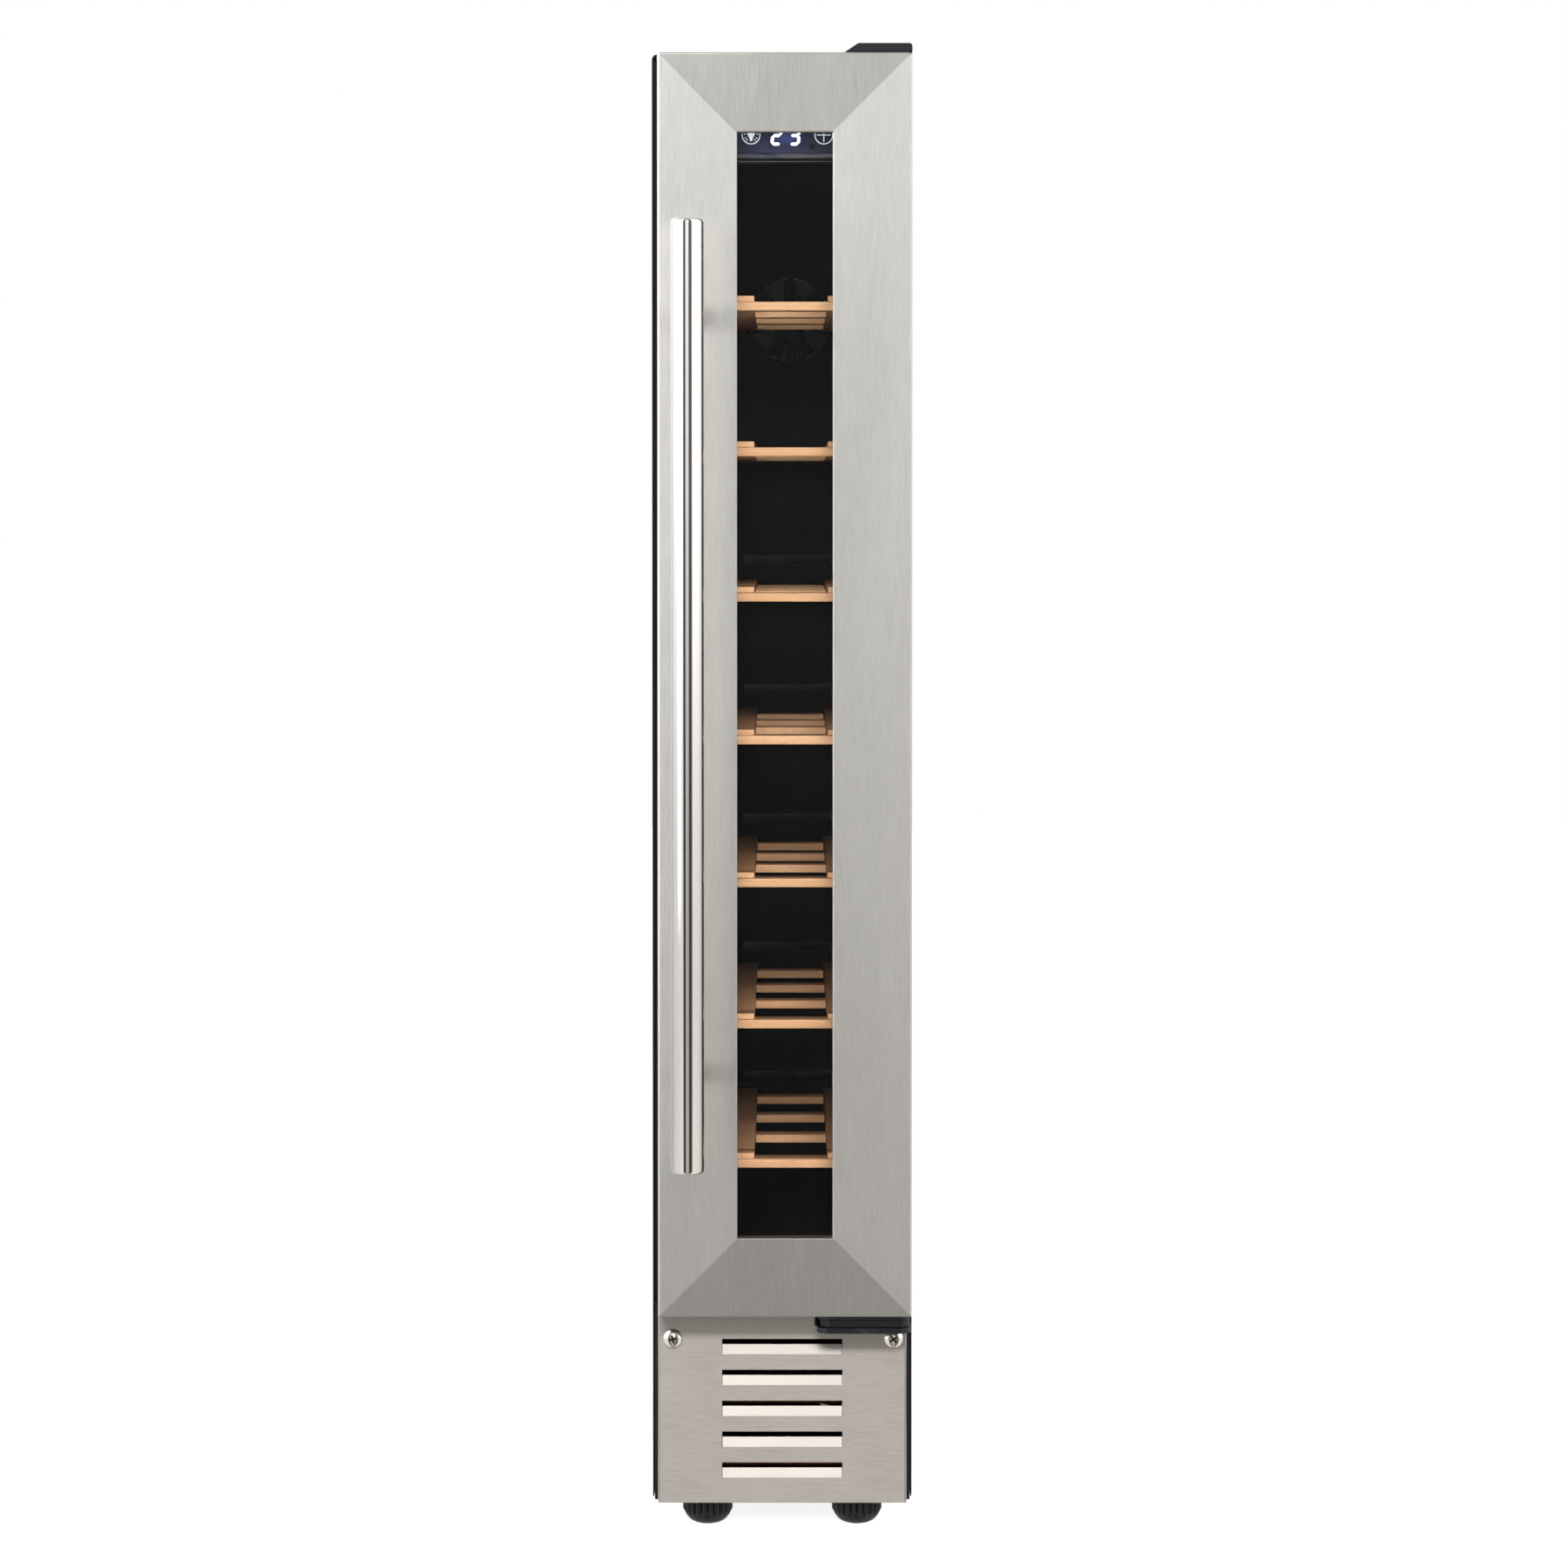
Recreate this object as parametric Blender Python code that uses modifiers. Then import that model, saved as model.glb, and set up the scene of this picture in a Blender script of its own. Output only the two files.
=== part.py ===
"""Slim free-standing wine cooler for one column of seven bottles, as an assembly of separate solids.

Metres, +Z up. The door faces -Y and its hinge is on the right, at +X. The origin is the middle of the
footprint, at the soles of the feet.
"""

import math

import bmesh
import bpy
from mathutils import Matrix, Vector

# Overall sizes
CABINET_WIDTH = 0.148
OVERALL_HEIGHT = 0.8427
DEPTH_WITH_DOOR = 0.525
GAP = 0.0003

# Heights below are drawn with the feet screwed right in. The last lines of the script raise the cabinet
# by how far they are screwed out.
FOOT_LIFT = 0.0027
COVER_TOP = OVERALL_HEIGHT - FOOT_LIFT

# Handle
BAR_RADIUS = 0.00925
BAR_LENGTH = 0.530
BAR_BOTTOM = 0.210
BAR_X = -0.0526
FINGER_GAP = 0.028
POST_RADIUS = 0.006
POST_INSET = 0.053

# Door
DOOR_LEFT = -0.070
DOOR_RIGHT = 0.073
DOOR_BOTTOM = 0.1245
DOOR_TOP = 0.8345
DOOR_THICKNESS = 0.042
DOOR_GAP = 0.0045
BEZEL_WIDTH = 0.0447
SKIN = 0.0008
SKIN_RETURN = 0.030
WINDOW_RETURN = 0.005
GLASS = 0.004
GLASS_OVERLAP = 0.008
SPACER_DEPTH = 0.010
GASKET_WIDTH = 0.008

# Door hinge
HINGE_X = 0.064
HINGE_INSET = 0.022
PIN_RADIUS = 0.003

# Cabinet
SHEET = 0.0008
CABINET_TOP = 0.837
SIDE_BOTTOM = 0.015
CORNER_FOLD = 0.008
CORNER_RADIUS = 0.003
DECK_LEVEL = 0.1325
PAN_LEVEL = 0.013
PAN_SHEET = 0.0012

# Cavity
CAVITY_X = 0.005
CAVITY_WIDTH = 0.100
CAVITY_DEPTH = 0.420
CAVITY_FLOOR = 0.1575
CAVITY_CEILING = 0.812
LINER = 0.0015
DUCT_FRONT = 0.385

# Shelves
SHELF_COUNT = 7
SHELF_PITCH = 0.0824
SHELF_LEVELS = (0.6924, 0.6096, 0.5267, 0.4452, 0.3635, 0.2826, 0.2026)
SHELF_WIDTH = 0.098
SHELF_LENGTH = 0.365
SHELF_SETBACK = 0.008
SHELF_BAR = 0.005
SHELF_BAR_DEPTH = 0.022
SHELF_BOARD = 0.0084
CRADLE_WIDTH = 0.042
BOTTLE_RADIUS = 0.038
LEDGE_REACH = 0.004
LEDGE_HEIGHT = 0.003

# Kick plate
KICK_WIDTH = 0.142
KICK_BOTTOM = 0.012
KICK_TOP = 0.121
KICK_PROUD = 0.005
SLOT_COUNT = 5
SLOT_WIDTH = 0.0687
SLOT_HEIGHT = 0.0089
SLOT_PITCH = 0.01772
TOP_SLOT = 0.1061
TAB_LENGTH = 0.0064
TAB_LEAN = 16
KICK_SCREWS = (-0.0625, 0.0635)
KICK_SCREW_Z = 0.1063
SCREW_HOLE = 0.0023

# Feet
FOOT_X = 0.0428
FRONT_FOOT_INSET = 0.0155
REAR_FOOT_INSET = 0.030
FOOT_RADIUS = 0.01425
SOLE_RADIUS = 0.0122
SOLE_HEIGHT = 0.0058
STEM_TOP = 0.032
STEM_RADIUS = 0.004

# Machine compartment, measured back from the cabinet's front face
CONDENSER_Y = 0.045
CONDENSER_FAN_Y = 0.095
DRYER_Y = 0.175
COMPRESSOR_Y = 0.285
BOARD_Y = 0.370

# Derived planes
HALF_WIDTH = CABINET_WIDTH / 2
FRONT = -(DEPTH_WITH_DOOR + FINGER_GAP + 2 * BAR_RADIUS) / 2
BAR_Y = FRONT + BAR_RADIUS
DOOR_FRONT = FRONT + 2 * BAR_RADIUS + FINGER_GAP
DOOR_BACK = DOOR_FRONT + DOOR_THICKNESS
CABINET_FRONT = DOOR_BACK + DOOR_GAP
REAR = DOOR_FRONT + DEPTH_WITH_DOOR
HINGE_Y = DOOR_FRONT + HINGE_INSET
WINDOW_LEFT = DOOR_LEFT + BEZEL_WIDTH
WINDOW_RIGHT = DOOR_RIGHT - BEZEL_WIDTH
WINDOW_BOTTOM = DOOR_BOTTOM + BEZEL_WIDTH
WINDOW_TOP = DOOR_TOP - BEZEL_WIDTH
CAVITY_LEFT = CAVITY_X - CAVITY_WIDTH / 2
CAVITY_RIGHT = CAVITY_X + CAVITY_WIDTH / 2
CAVITY_BACK = CABINET_FRONT + CAVITY_DEPTH
KICK_FACE = CABINET_FRONT - KICK_PROUD

for old in list(bpy.data.objects):
    bpy.data.objects.remove(old)


def collection(name):
    made = bpy.data.collections.new(name)
    bpy.context.scene.collection.children.link(made)
    return made


parts = collection("wine_cooler")
cutters = collection("cutters")


def material(name, colour, roughness, metallic=0.0, alpha=1.0):
    made = bpy.data.materials.new(name)
    made.use_nodes = True
    shader = made.node_tree.nodes["Principled BSDF"]
    shader.inputs["Base Color"].default_value = (*colour, 1.0)
    shader.inputs["Roughness"].default_value = roughness
    shader.inputs["Metallic"].default_value = metallic
    shader.inputs["Alpha"].default_value = alpha
    made.diffuse_color = (*colour, alpha)
    return made


steel = material("brushed_stainless", (0.56, 0.55, 0.53), 0.32, 1.0)
black_steel = material("black_powder_coat", (0.018, 0.018, 0.020), 0.45)
zinc = material("zinc_sheet", (0.50, 0.51, 0.52), 0.40, 1.0)
screw_steel = material("polished_screw", (0.70, 0.70, 0.69), 0.18, 1.0)
black_abs = material("black_abs", (0.020, 0.020, 0.022), 0.40)
white_foam = material("foam", (0.75, 0.70, 0.52), 0.90)
dark_lens = material("dark_acrylic", (0.015, 0.020, 0.030), 0.08)
diffuser = material("white_diffuser", (0.85, 0.88, 0.92), 0.35)
glass = material("tinted_glass", (0.30, 0.33, 0.33), 0.03, 0.0, 0.35)
rubber = material("black_rubber", (0.015, 0.015, 0.015), 0.75)
beech = material("beech", (0.72, 0.43, 0.22), 0.55)
aluminium = material("aluminium", (0.66, 0.67, 0.68), 0.35, 1.0)
copper = material("copper", (0.72, 0.38, 0.24), 0.30, 1.0)
compressor_paint = material("compressor_paint", (0.015, 0.015, 0.015), 0.30)
grey_abs = material("grey_abs", (0.35, 0.36, 0.37), 0.50)


def add(name, mesh, look=None, location=(0, 0, 0), group=None):
    """A mesh as an object, in the parts unless another collection is given."""
    made = bpy.data.objects.new(name, mesh)
    made.location = location
    (group or parts).objects.link(made)
    if look:
        mesh.materials.clear()
        mesh.materials.append(look)
    return made


def mesh_of(name, bm):
    mesh = bpy.data.meshes.new(name)
    bm.to_mesh(mesh)
    bm.free()
    return mesh


def cube_into(bm, low, high):
    low, high = Vector(low), Vector(high)
    size = high - low
    placed = Matrix.Translation((low + high) / 2) @ Matrix.Diagonal((*size, 1))
    return bmesh.ops.create_cube(bm, size=1.0, matrix=placed)


def box(name, low, high, look=None, group=None):
    """A box between two corners, with its origin in its middle."""
    low, high = Vector(low), Vector(high)
    middle = (low + high) / 2
    bm = bmesh.new()
    cube_into(bm, low - middle, high - middle)
    return add(name, mesh_of(name, bm), look, middle, group)


def boxes(name, corners, group=None):
    """Several boxes that don't touch, in one mesh."""
    bm = bmesh.new()
    for low, high in corners:
        cube_into(bm, low, high)
    return add(name, mesh_of(name, bm), None, (0, 0, 0), group or cutters)


def rod(name, start, end, radius, look=None, group=None, sides=24):
    """A cylinder between two points, with its origin in its middle."""
    start, end = Vector(start), Vector(end)
    bm = bmesh.new()
    turn = (end - start).to_track_quat("Z", "Y").to_matrix().to_4x4()
    bmesh.ops.create_cone(bm, cap_ends=True, segments=sides, radius1=radius, radius2=radius,
                          depth=(end - start).length, matrix=turn)
    made = add(name, mesh_of(name, bm), look, (start + end) / 2, group)
    smooth(made)
    return made


def smooth(made, angle=35):
    made.data.shade_smooth()
    made.data.set_sharp_from_angle(angle=math.radians(angle))


def turned(name, profile, location, look, steps=24):
    """A solid of revolution about its own Z, from (radius, height) points, top to bottom."""
    bm = bmesh.new()
    points = [bm.verts.new((radius, 0, height)) for radius, height in profile]
    for upper, lower in zip(points, points[1:]):
        bm.edges.new((upper, lower))
    made = add(name, mesh_of(name, bm), look, location)
    screw = made.modifiers.new("turn", "SCREW")
    screw.steps = steps
    screw.render_steps = steps
    screw.use_merge_vertices = True
    screw.merge_threshold = 0.00001
    screw.use_smooth_shade = True
    return made


def plate(name, outline, middle, thickness, look=None, group=None, upright=False):
    """An outline given thickness. An upright one is drawn in X and Z and is thick along Y."""
    curve = bpy.data.curves.new(name, "CURVE")
    curve.dimensions = "2D"
    curve.fill_mode = "BOTH"
    curve.extrude = thickness / 2
    line = curve.splines.new("POLY")
    line.points.add(len(outline) - 1)
    for point, (across, up) in zip(line.points, outline):
        point.co = (across, up, 0, 1)
    line.use_cyclic_u = True
    drawn = bpy.data.objects.new(name, curve)
    drawn.location = middle
    if upright:
        drawn.rotation_euler = (math.pi / 2, 0, 0)
    return solid_from_curve(drawn, look, group)


def tube(name, points, radius, look):
    """A round tube along a line of points, with flat ends."""
    curve = bpy.data.curves.new(name, "CURVE")
    curve.dimensions = "3D"
    curve.bevel_depth = radius
    curve.bevel_resolution = 2
    curve.use_fill_caps = True
    line = curve.splines.new("POLY")
    line.points.add(len(points) - 1)
    for point, place in zip(line.points, points):
        point.co = (*place, 1)
    return solid_from_curve(bpy.data.objects.new(name, curve), look, None)


def solid_from_curve(drawn, look, group):
    """The closed mesh of a curve, which takes the curve's place."""
    name = drawn.name
    bpy.context.scene.collection.objects.link(drawn)
    bpy.context.view_layer.update()
    ready = drawn.evaluated_get(bpy.context.evaluated_depsgraph_get())
    mesh = bpy.data.meshes.new_from_object(ready)
    bm = bmesh.new()
    bm.from_mesh(mesh)
    bmesh.ops.remove_doubles(bm, verts=bm.verts[:], dist=0.00001)
    bm.to_mesh(mesh)
    bm.free()
    placed = drawn.matrix_world.copy()
    bpy.data.objects.remove(drawn)
    made = add(name, mesh, look, (0, 0, 0), group)
    made.name = name
    made.matrix_world = placed
    smooth(made)
    return made


def folded_sheet(name, start, end, thickness, outward, look, bend=0.0, segments=2):
    """Bent sheet metal: faces between two matching polylines, bent round, then thickened inwards."""
    bm = bmesh.new()
    first = [bm.verts.new(point) for point in start]
    last = [bm.verts.new(point) for point in end]
    for i in range(len(start) - 1):
        bm.faces.new((first[i], first[i + 1], last[i + 1], last[i]))
    bm.normal_update()
    facing = max(bm.faces, key=lambda face: face.calc_area() * abs(face.normal.dot(Vector(outward))))
    if facing.normal.dot(Vector(outward)) < 0:
        bmesh.ops.reverse_faces(bm, faces=bm.faces[:])
    made = add(name, mesh_of(name, bm), look)
    if bend:
        rounded(made, bend, segments)
    thicken(made, thickness)
    return made


def rounded(made, width, segments=2):
    bevel = made.modifiers.new("rounded", "BEVEL")
    bevel.width = width
    bevel.segments = segments
    bevel.limit_method = "ANGLE"
    bevel.angle_limit = math.radians(40)
    return made


def thicken(made, thickness):
    solidify = made.modifiers.new("sheet", "SOLIDIFY")
    solidify.thickness = thickness
    solidify.offset = -1
    solidify.use_even_offset = True
    return made


def combine(target, tool, operation):
    boolean = target.modifiers.new(operation.lower(), "BOOLEAN")
    boolean.operation = operation
    boolean.solver = "EXACT"
    boolean.object = tool
    tool.hide_render = True
    tool.display_type = "WIRE"
    return target


def cut(target, *tools):
    for tool in tools:
        combine(target, tool, "DIFFERENCE")
    return target


def join(target, *tools):
    for tool in tools:
        combine(target, tool, "UNION")
    return target


def hole(name, start, end, radius, sides=24):
    return rod(name, start, end, radius, None, cutters, sides)


def arc(centre, radius, first, last, count):
    """Points along an arc, from one angle to another in degrees."""
    angles = [math.radians(first + (last - first) * i / (count - 1)) for i in range(count)]
    return [(centre[0] + radius * math.cos(a), centre[1] + radius * math.sin(a)) for a in angles]


def back(distance):
    """Y at a distance behind the cabinet's front face."""
    return CABINET_FRONT + distance


# ---- Cabinet shell

def side_panel(name, side):
    """A coated side sheet that folds in over the top edge."""
    outer = side * HALF_WIDTH
    fold = [(outer, SIDE_BOTTOM), (outer, CABINET_TOP), (outer - side * CORNER_FOLD, CABINET_TOP)]
    front_line = [(x, CABINET_FRONT, z) for x, z in fold]
    rear_line = [(x, REAR, z) for x, z in fold]
    return folded_sheet(name, front_line, rear_line, SHEET, (side, 0, 0), black_steel,
                        CORNER_RADIUS, 3)


side_panel("side_panel_left", -1)
side_panel("side_panel_right", 1)

# The back panel and the foam end where the side panels' inner corner radius starts to close in
INNER_TOP = CABINET_TOP - 0.0021
top_half = HALF_WIDTH - CORNER_FOLD - GAP
box("top_panel", (-top_half, CABINET_FRONT, CABINET_TOP - SHEET), (top_half, REAR, CABINET_TOP),
    black_steel)

inner_half = HALF_WIDTH - SHEET - GAP
box("back_panel", (-inner_half, REAR - SHEET, DECK_LEVEL), (inner_half, REAR, INNER_TOP),
    zinc)
box("machine_deck", (-inner_half, back(0.020), DECK_LEVEL),
    (inner_half, REAR - SHEET - GAP, DECK_LEVEL + SHEET), zinc)

# The machine compartment's rear cover, set in a little and cut with vents
GRILLE_INSET = 0.003
VENT_COUNT = 6
VENT_PITCH = 0.012
INLET_X = 0.045
INLET_Z = 0.032
grille_y = REAR - GRILLE_INSET
rear_grille = box("rear_grille", (-inner_half, grille_y - SHEET, SIDE_BOTTOM),
                  (inner_half, grille_y, DECK_LEVEL - GAP), zinc)
vents = []
for i in range(VENT_COUNT):
    vent_z = 0.056 + i * VENT_PITCH
    vents.append(((-0.055, grille_y - 0.004, vent_z), (0.055, grille_y + 0.004, vent_z + 0.005)))
cut(rear_grille, boxes("vent_cutter", vents),
    hole("inlet_hole", (INLET_X, grille_y - 0.01, INLET_Z), (INLET_X, grille_y + 0.01, INLET_Z), 0.0068))

# Power inlet gland: a flange outside the cover, a neck through it, and the bore for the cord
power_inlet = rod("power_inlet", (INLET_X, grille_y + GAP, INLET_Z), (INLET_X, REAR, INLET_Z), 0.009,
                  black_abs)
join(power_inlet, hole("inlet_neck", (INLET_X, grille_y - 0.012, INLET_Z),
                       (INLET_X, grille_y + 0.001, INLET_Z), 0.0065))
cut(power_inlet, hole("inlet_bore", (INLET_X, grille_y - 0.02, INLET_Z),
                      (INLET_X, REAR + 0.01, INLET_Z), 0.0035))


def base_frame():
    """Floor pan, two front uprights for the kick plate's screws, and the crossbar that carries the hinge."""
    half = inner_half
    made = box("base_frame", (-half, back(0.0005), PAN_LEVEL),
               (half, REAR - GRILLE_INSET - SHEET - GAP, PAN_LEVEL + PAN_SHEET), black_steel)
    post_front = back(0.0005)
    post_back = back(0.002)
    for i, x in enumerate(KICK_SCREWS):
        outer = math.copysign(half, x)
        inner = math.copysign(half - 0.016, x)
        join(made, box(f"upright_{i}", (min(outer, inner), post_front, PAN_LEVEL + 0.0004),
                       (max(outer, inner), post_back, 0.116), None, cutters))
    join(made, box("crossbar", (-half, post_front - 0.0002, 0.111), (half, back(0.018), 0.1275),
                   None, cutters))
    cut(made, box("crossbar_hollow", (-half - 0.01, back(0.002), 0.1122), (half + 0.01, back(0.030), 0.1263),
                  None, cutters))
    for i, x in enumerate(KICK_SCREWS):
        cut(made, hole(f"upright_hole_{i}", (x, post_front - 0.01, KICK_SCREW_Z),
                       (x, post_back + 0.01, KICK_SCREW_Z), SCREW_HOLE, 12))
    for i, (x, y) in enumerate(foot_places()):
        cut(made, hole(f"foot_hole_{i}", (x, y, PAN_LEVEL - 0.01), (x, y, PAN_LEVEL + 0.01),
                       STEM_RADIUS + GAP, 16))
    return made


def foot_places():
    """Front left, front right, rear left, rear right."""
    return [(x, y) for y in (back(FRONT_FOOT_INSET), REAR - REAR_FOOT_INSET)
            for x in (-FOOT_X, FOOT_X)]


base_frame()


def foot(name, x, y):
    """Levelling foot: a stem that screws into the pan, a grip ring and a rounded sole."""
    flat = 0.005
    round_height = 0.0045
    rounding = [(flat + (SOLE_RADIUS - flat) * across, round_height * (1 + up))
                for across, up in arc((0, 0), 1, 0, -90, 4)]
    stem_top = STEM_TOP + FOOT_LIFT
    grip_top = PAN_LEVEL + FOOT_LIFT - GAP
    profile = [(0, stem_top), (STEM_RADIUS, stem_top), (STEM_RADIUS, grip_top), (FOOT_RADIUS, grip_top),
               (FOOT_RADIUS, SOLE_HEIGHT + 0.0005), (SOLE_RADIUS, SOLE_HEIGHT)]
    return turned(name, profile + rounding + [(0, 0)], (x, y, 0), rubber, 20)


foot_names = ("foot_front_left", "foot_front_right", "foot_rear_left", "foot_rear_right")
for foot_name, (foot_x, foot_y) in zip(foot_names, foot_places()):
    foot(foot_name, foot_x, foot_y)

# ---- Insulated cavity


def shelf_level(index):
    """Underside of a shelf, counted from the top one."""
    return SHELF_LEVELS[index]


def inner_liner():
    """Moulded liner: a box open at the front, a flange round its mouth, and a pair of ledges per shelf."""
    flange = {"left": -inner_half, "right": inner_half, "bottom": 0.1285, "top": 0.833}
    bm = bmesh.new()
    cube_into(bm, (CAVITY_LEFT, CABINET_FRONT, CAVITY_FLOOR), (CAVITY_RIGHT, CAVITY_BACK, CAVITY_CEILING))
    mouth = min(bm.faces, key=lambda face: face.calc_center_median().y)
    rim = mouth.edges[:]
    bmesh.ops.delete(bm, geom=[mouth], context="FACES_ONLY")
    grown = bmesh.ops.extrude_edge_only(bm, edges=rim)["geom"]
    for vert in [item for item in grown if isinstance(item, bmesh.types.BMVert)]:
        vert.co.x = flange["left"] if vert.co.x < CAVITY_X else flange["right"]
        vert.co.z = flange["bottom"] if vert.co.z < CAVITY_CEILING / 2 else flange["top"]
    bm.normal_update()
    bmesh.ops.recalc_face_normals(bm, faces=bm.faces[:])
    rear = max(bm.faces, key=lambda face: face.calc_center_median().y)
    if rear.normal.y > 0:
        bmesh.ops.reverse_faces(bm, faces=bm.faces[:])
    made = add("inner_liner", mesh_of("inner_liner", bm), black_abs)
    rounded(made, 0.003)
    thicken(made, LINER)
    ledges = []
    for i in range(SHELF_COUNT):
        top = shelf_level(i) - GAP
        for wall, side in ((CAVITY_LEFT, -1), (CAVITY_RIGHT, 1)):
            x = sorted((wall + side * LINER / 2, wall - side * LEDGE_REACH))
            ledges.append(((x[0], back(0.012), top - LEDGE_HEIGHT), (x[1], back(0.372), top)))
    return join(made, boxes("ledges", ledges))


inner_liner()

foam_half = inner_half - 0.0008
foam_insulation = box("foam_insulation", (-foam_half, back(0.0032), DECK_LEVEL + SHEET + GAP),
                      (foam_half, REAR - SHEET - GAP, 0.8318), white_foam)
wall = LINER + GAP
cut(foam_insulation, box("liner_space", (CAVITY_LEFT - wall, back(-0.02), CAVITY_FLOOR - wall),
                         (CAVITY_RIGHT + wall, CAVITY_BACK + wall, CAVITY_CEILING + wall), None, cutters))


def shelf_mesh():
    """Beech shelf: two side boards, a front and a rear bar, and two scalloped cross bars."""
    half = SHELF_WIDTH / 2
    inner = CRADLE_WIDTH / 2
    overlap = 0.002
    made = box("shelf_pattern", (-half, 0, 0), (half, SHELF_BAR_DEPTH, SHELF_BAR), beech, cutters)
    made.data.transform(Matrix.Translation(made.location))
    made.location = (0, 0, 0)
    board_front = 0.001
    join(made, boxes("shelf_boards", [((-half, board_front, 0), (-inner, SHELF_LENGTH, SHELF_BOARD)),
                                      ((inner, board_front, 0), (half, SHELF_LENGTH, SHELF_BOARD))]))
    bars = []
    for low, high in ((0.125, 0.145), (0.235, 0.255), (SHELF_LENGTH - SHELF_BAR_DEPTH, SHELF_LENGTH - 0.001)):
        bars.append(((-inner - overlap, low, 0.0004), (inner + overlap, high, SHELF_BAR)))
    join(made, boxes("shelf_bars", bars))
    axis_z = SHELF_BOARD + math.sqrt(BOTTLE_RADIUS ** 2 - inner ** 2)
    cut(made, hole("scallop", (0, SHELF_BAR_DEPTH + 0.004, axis_z),
                   (0, SHELF_LENGTH - SHELF_BAR_DEPTH - 0.004, axis_z), BOTTLE_RADIUS + GAP, 40))
    bpy.context.view_layer.update()
    ready = made.evaluated_get(bpy.context.evaluated_depsgraph_get())
    mesh = bpy.data.meshes.new_from_object(ready)
    mesh.name = "shelf"
    bpy.data.objects.remove(made)
    return mesh


shelf_shape = shelf_mesh()
for shelf_index in range(SHELF_COUNT):
    add(f"shelf_{shelf_index + 1}", shelf_shape, None,
        (CAVITY_X, back(SHELF_SETBACK), shelf_level(shelf_index)))

# Control unit hung under the ceiling: housing with a lower lip, dark lens, and a light strip let into its underside
CONTROL_BOTTOM = 0.7785
side_clear = 0.0006
control_housing = box("control_housing", (CAVITY_LEFT + side_clear, back(0.0065), CONTROL_BOTTOM),
                      (CAVITY_RIGHT - side_clear, back(0.058), CAVITY_CEILING - 0.0031), black_abs)
join(control_housing, box("control_lip", (CAVITY_LEFT + 0.003, back(0.0030), CONTROL_BOTTOM + 0.0001),
                          (CAVITY_RIGHT - 0.003, back(0.008), CONTROL_BOTTOM + 0.0024), None, cutters))
box("control_lens", (CAVITY_LEFT + 0.003, back(0.0038), CONTROL_BOTTOM + 0.0028),
    (CAVITY_RIGHT - 0.003, back(0.0062), CAVITY_CEILING - 0.0035), dark_lens)
cut(control_housing, box("light_pocket", (CAVITY_X - 0.0303, back(0.0297), CONTROL_BOTTOM - 0.001),
                         (CAVITY_X + 0.0303, back(0.0403), CONTROL_BOTTOM + 0.0033), None, cutters))
box("light_strip", (CAVITY_X - 0.030, back(0.030), CONTROL_BOTTOM + 0.0003),
    (CAVITY_X + 0.030, back(0.040), CONTROL_BOTTOM + 0.0030), diffuser)

# Air duct cover in front of the evaporator, with the fan's opening and return slots
CIRCULATION_FAN_Z = 0.700
CIRCULATION_FAN_RADIUS = 0.0265
duct_cover = box("air_duct_cover", (CAVITY_LEFT + side_clear, back(DUCT_FRONT), CAVITY_FLOOR + 0.0015),
                 (CAVITY_RIGHT - side_clear, back(DUCT_FRONT + 0.002), CAVITY_CEILING - 0.0015), black_abs)
cut(duct_cover, hole("duct_fan_hole", (CAVITY_X, back(DUCT_FRONT - 0.01), CIRCULATION_FAN_Z),
                     (CAVITY_X, back(DUCT_FRONT + 0.01), CIRCULATION_FAN_Z), CIRCULATION_FAN_RADIUS, 32))
returns = []
for slot_index in range(5):
    slot_z = 0.215 + slot_index * SHELF_PITCH
    returns.append(((CAVITY_X - 0.030, back(DUCT_FRONT - 0.01), slot_z),
                    (CAVITY_X + 0.030, back(DUCT_FRONT + 0.01), slot_z + 0.006)))
cut(duct_cover, boxes("return_slots", returns))


def fan_frame(name, centre, size, depth, look):
    """Square frame with a round duct, a motor can and two spokes across its rear."""
    half = size / 2
    x, y, z = centre
    made = box(name, (x - half, y, z - half), (x + half, y + depth, z + half), look)
    cut(made, hole(f"{name}_duct", (x, y - 0.01, z), (x, y + depth + 0.01, z), half - 0.002, 32))
    reach = half - 0.0008
    spoke = 0.0025
    rear_low = y + depth - 0.0024
    rear_high = y + depth - 0.0004
    join(made, box(f"{name}_spoke_a", (x - reach, rear_low, z - spoke), (x + reach, rear_high, z + spoke),
                   None, cutters))
    join(made, box(f"{name}_spoke_b", (x - spoke, rear_low + 0.0002, z - reach),
                   (x + spoke, rear_high - 0.0002, z + reach), None, cutters))
    join(made, hole(f"{name}_can", (x, y + depth * 0.62, z), (x, y + depth - 0.0002, z), size * 0.16))
    return made


def fan_rotor(name, centre, radius, hub_radius, depth, chord):
    """Hub with seven pitched blades, turning about Y."""
    blade_count = 7
    x, y, z = centre
    made = rod(name, (x, y - depth / 2, z), (x, y + depth / 2, z), hub_radius, black_abs)
    bm = bmesh.new()
    root = hub_radius - 0.001
    for i in range(blade_count):
        low = (-chord / 2, -0.0006, root)
        high = (chord / 2, 0.0006, radius)
        blade = cube_into(bm, low, high)["verts"]
        pitch = Matrix.Rotation(math.radians(32), 4, "Z")
        spin = Matrix.Rotation(2 * math.pi * i / blade_count, 4, "Y")
        bmesh.ops.transform(bm, matrix=spin @ pitch, verts=blade)
    blades = add(f"{name}_blades", mesh_of(f"{name}_blades", bm), None, centre, cutters)
    return join(made, blades)


fan_depth = 0.015
circulation_y = back(DUCT_FRONT + 0.002 + GAP)
fan_frame("circulation_fan_frame", (CAVITY_X, circulation_y, CIRCULATION_FAN_Z), 0.058, fan_depth, black_abs)
fan_rotor("circulation_fan_rotor", (CAVITY_X, circulation_y + 0.0055, CIRCULATION_FAN_Z), 0.0258, 0.0115,
          0.006, 0.0085)

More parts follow.
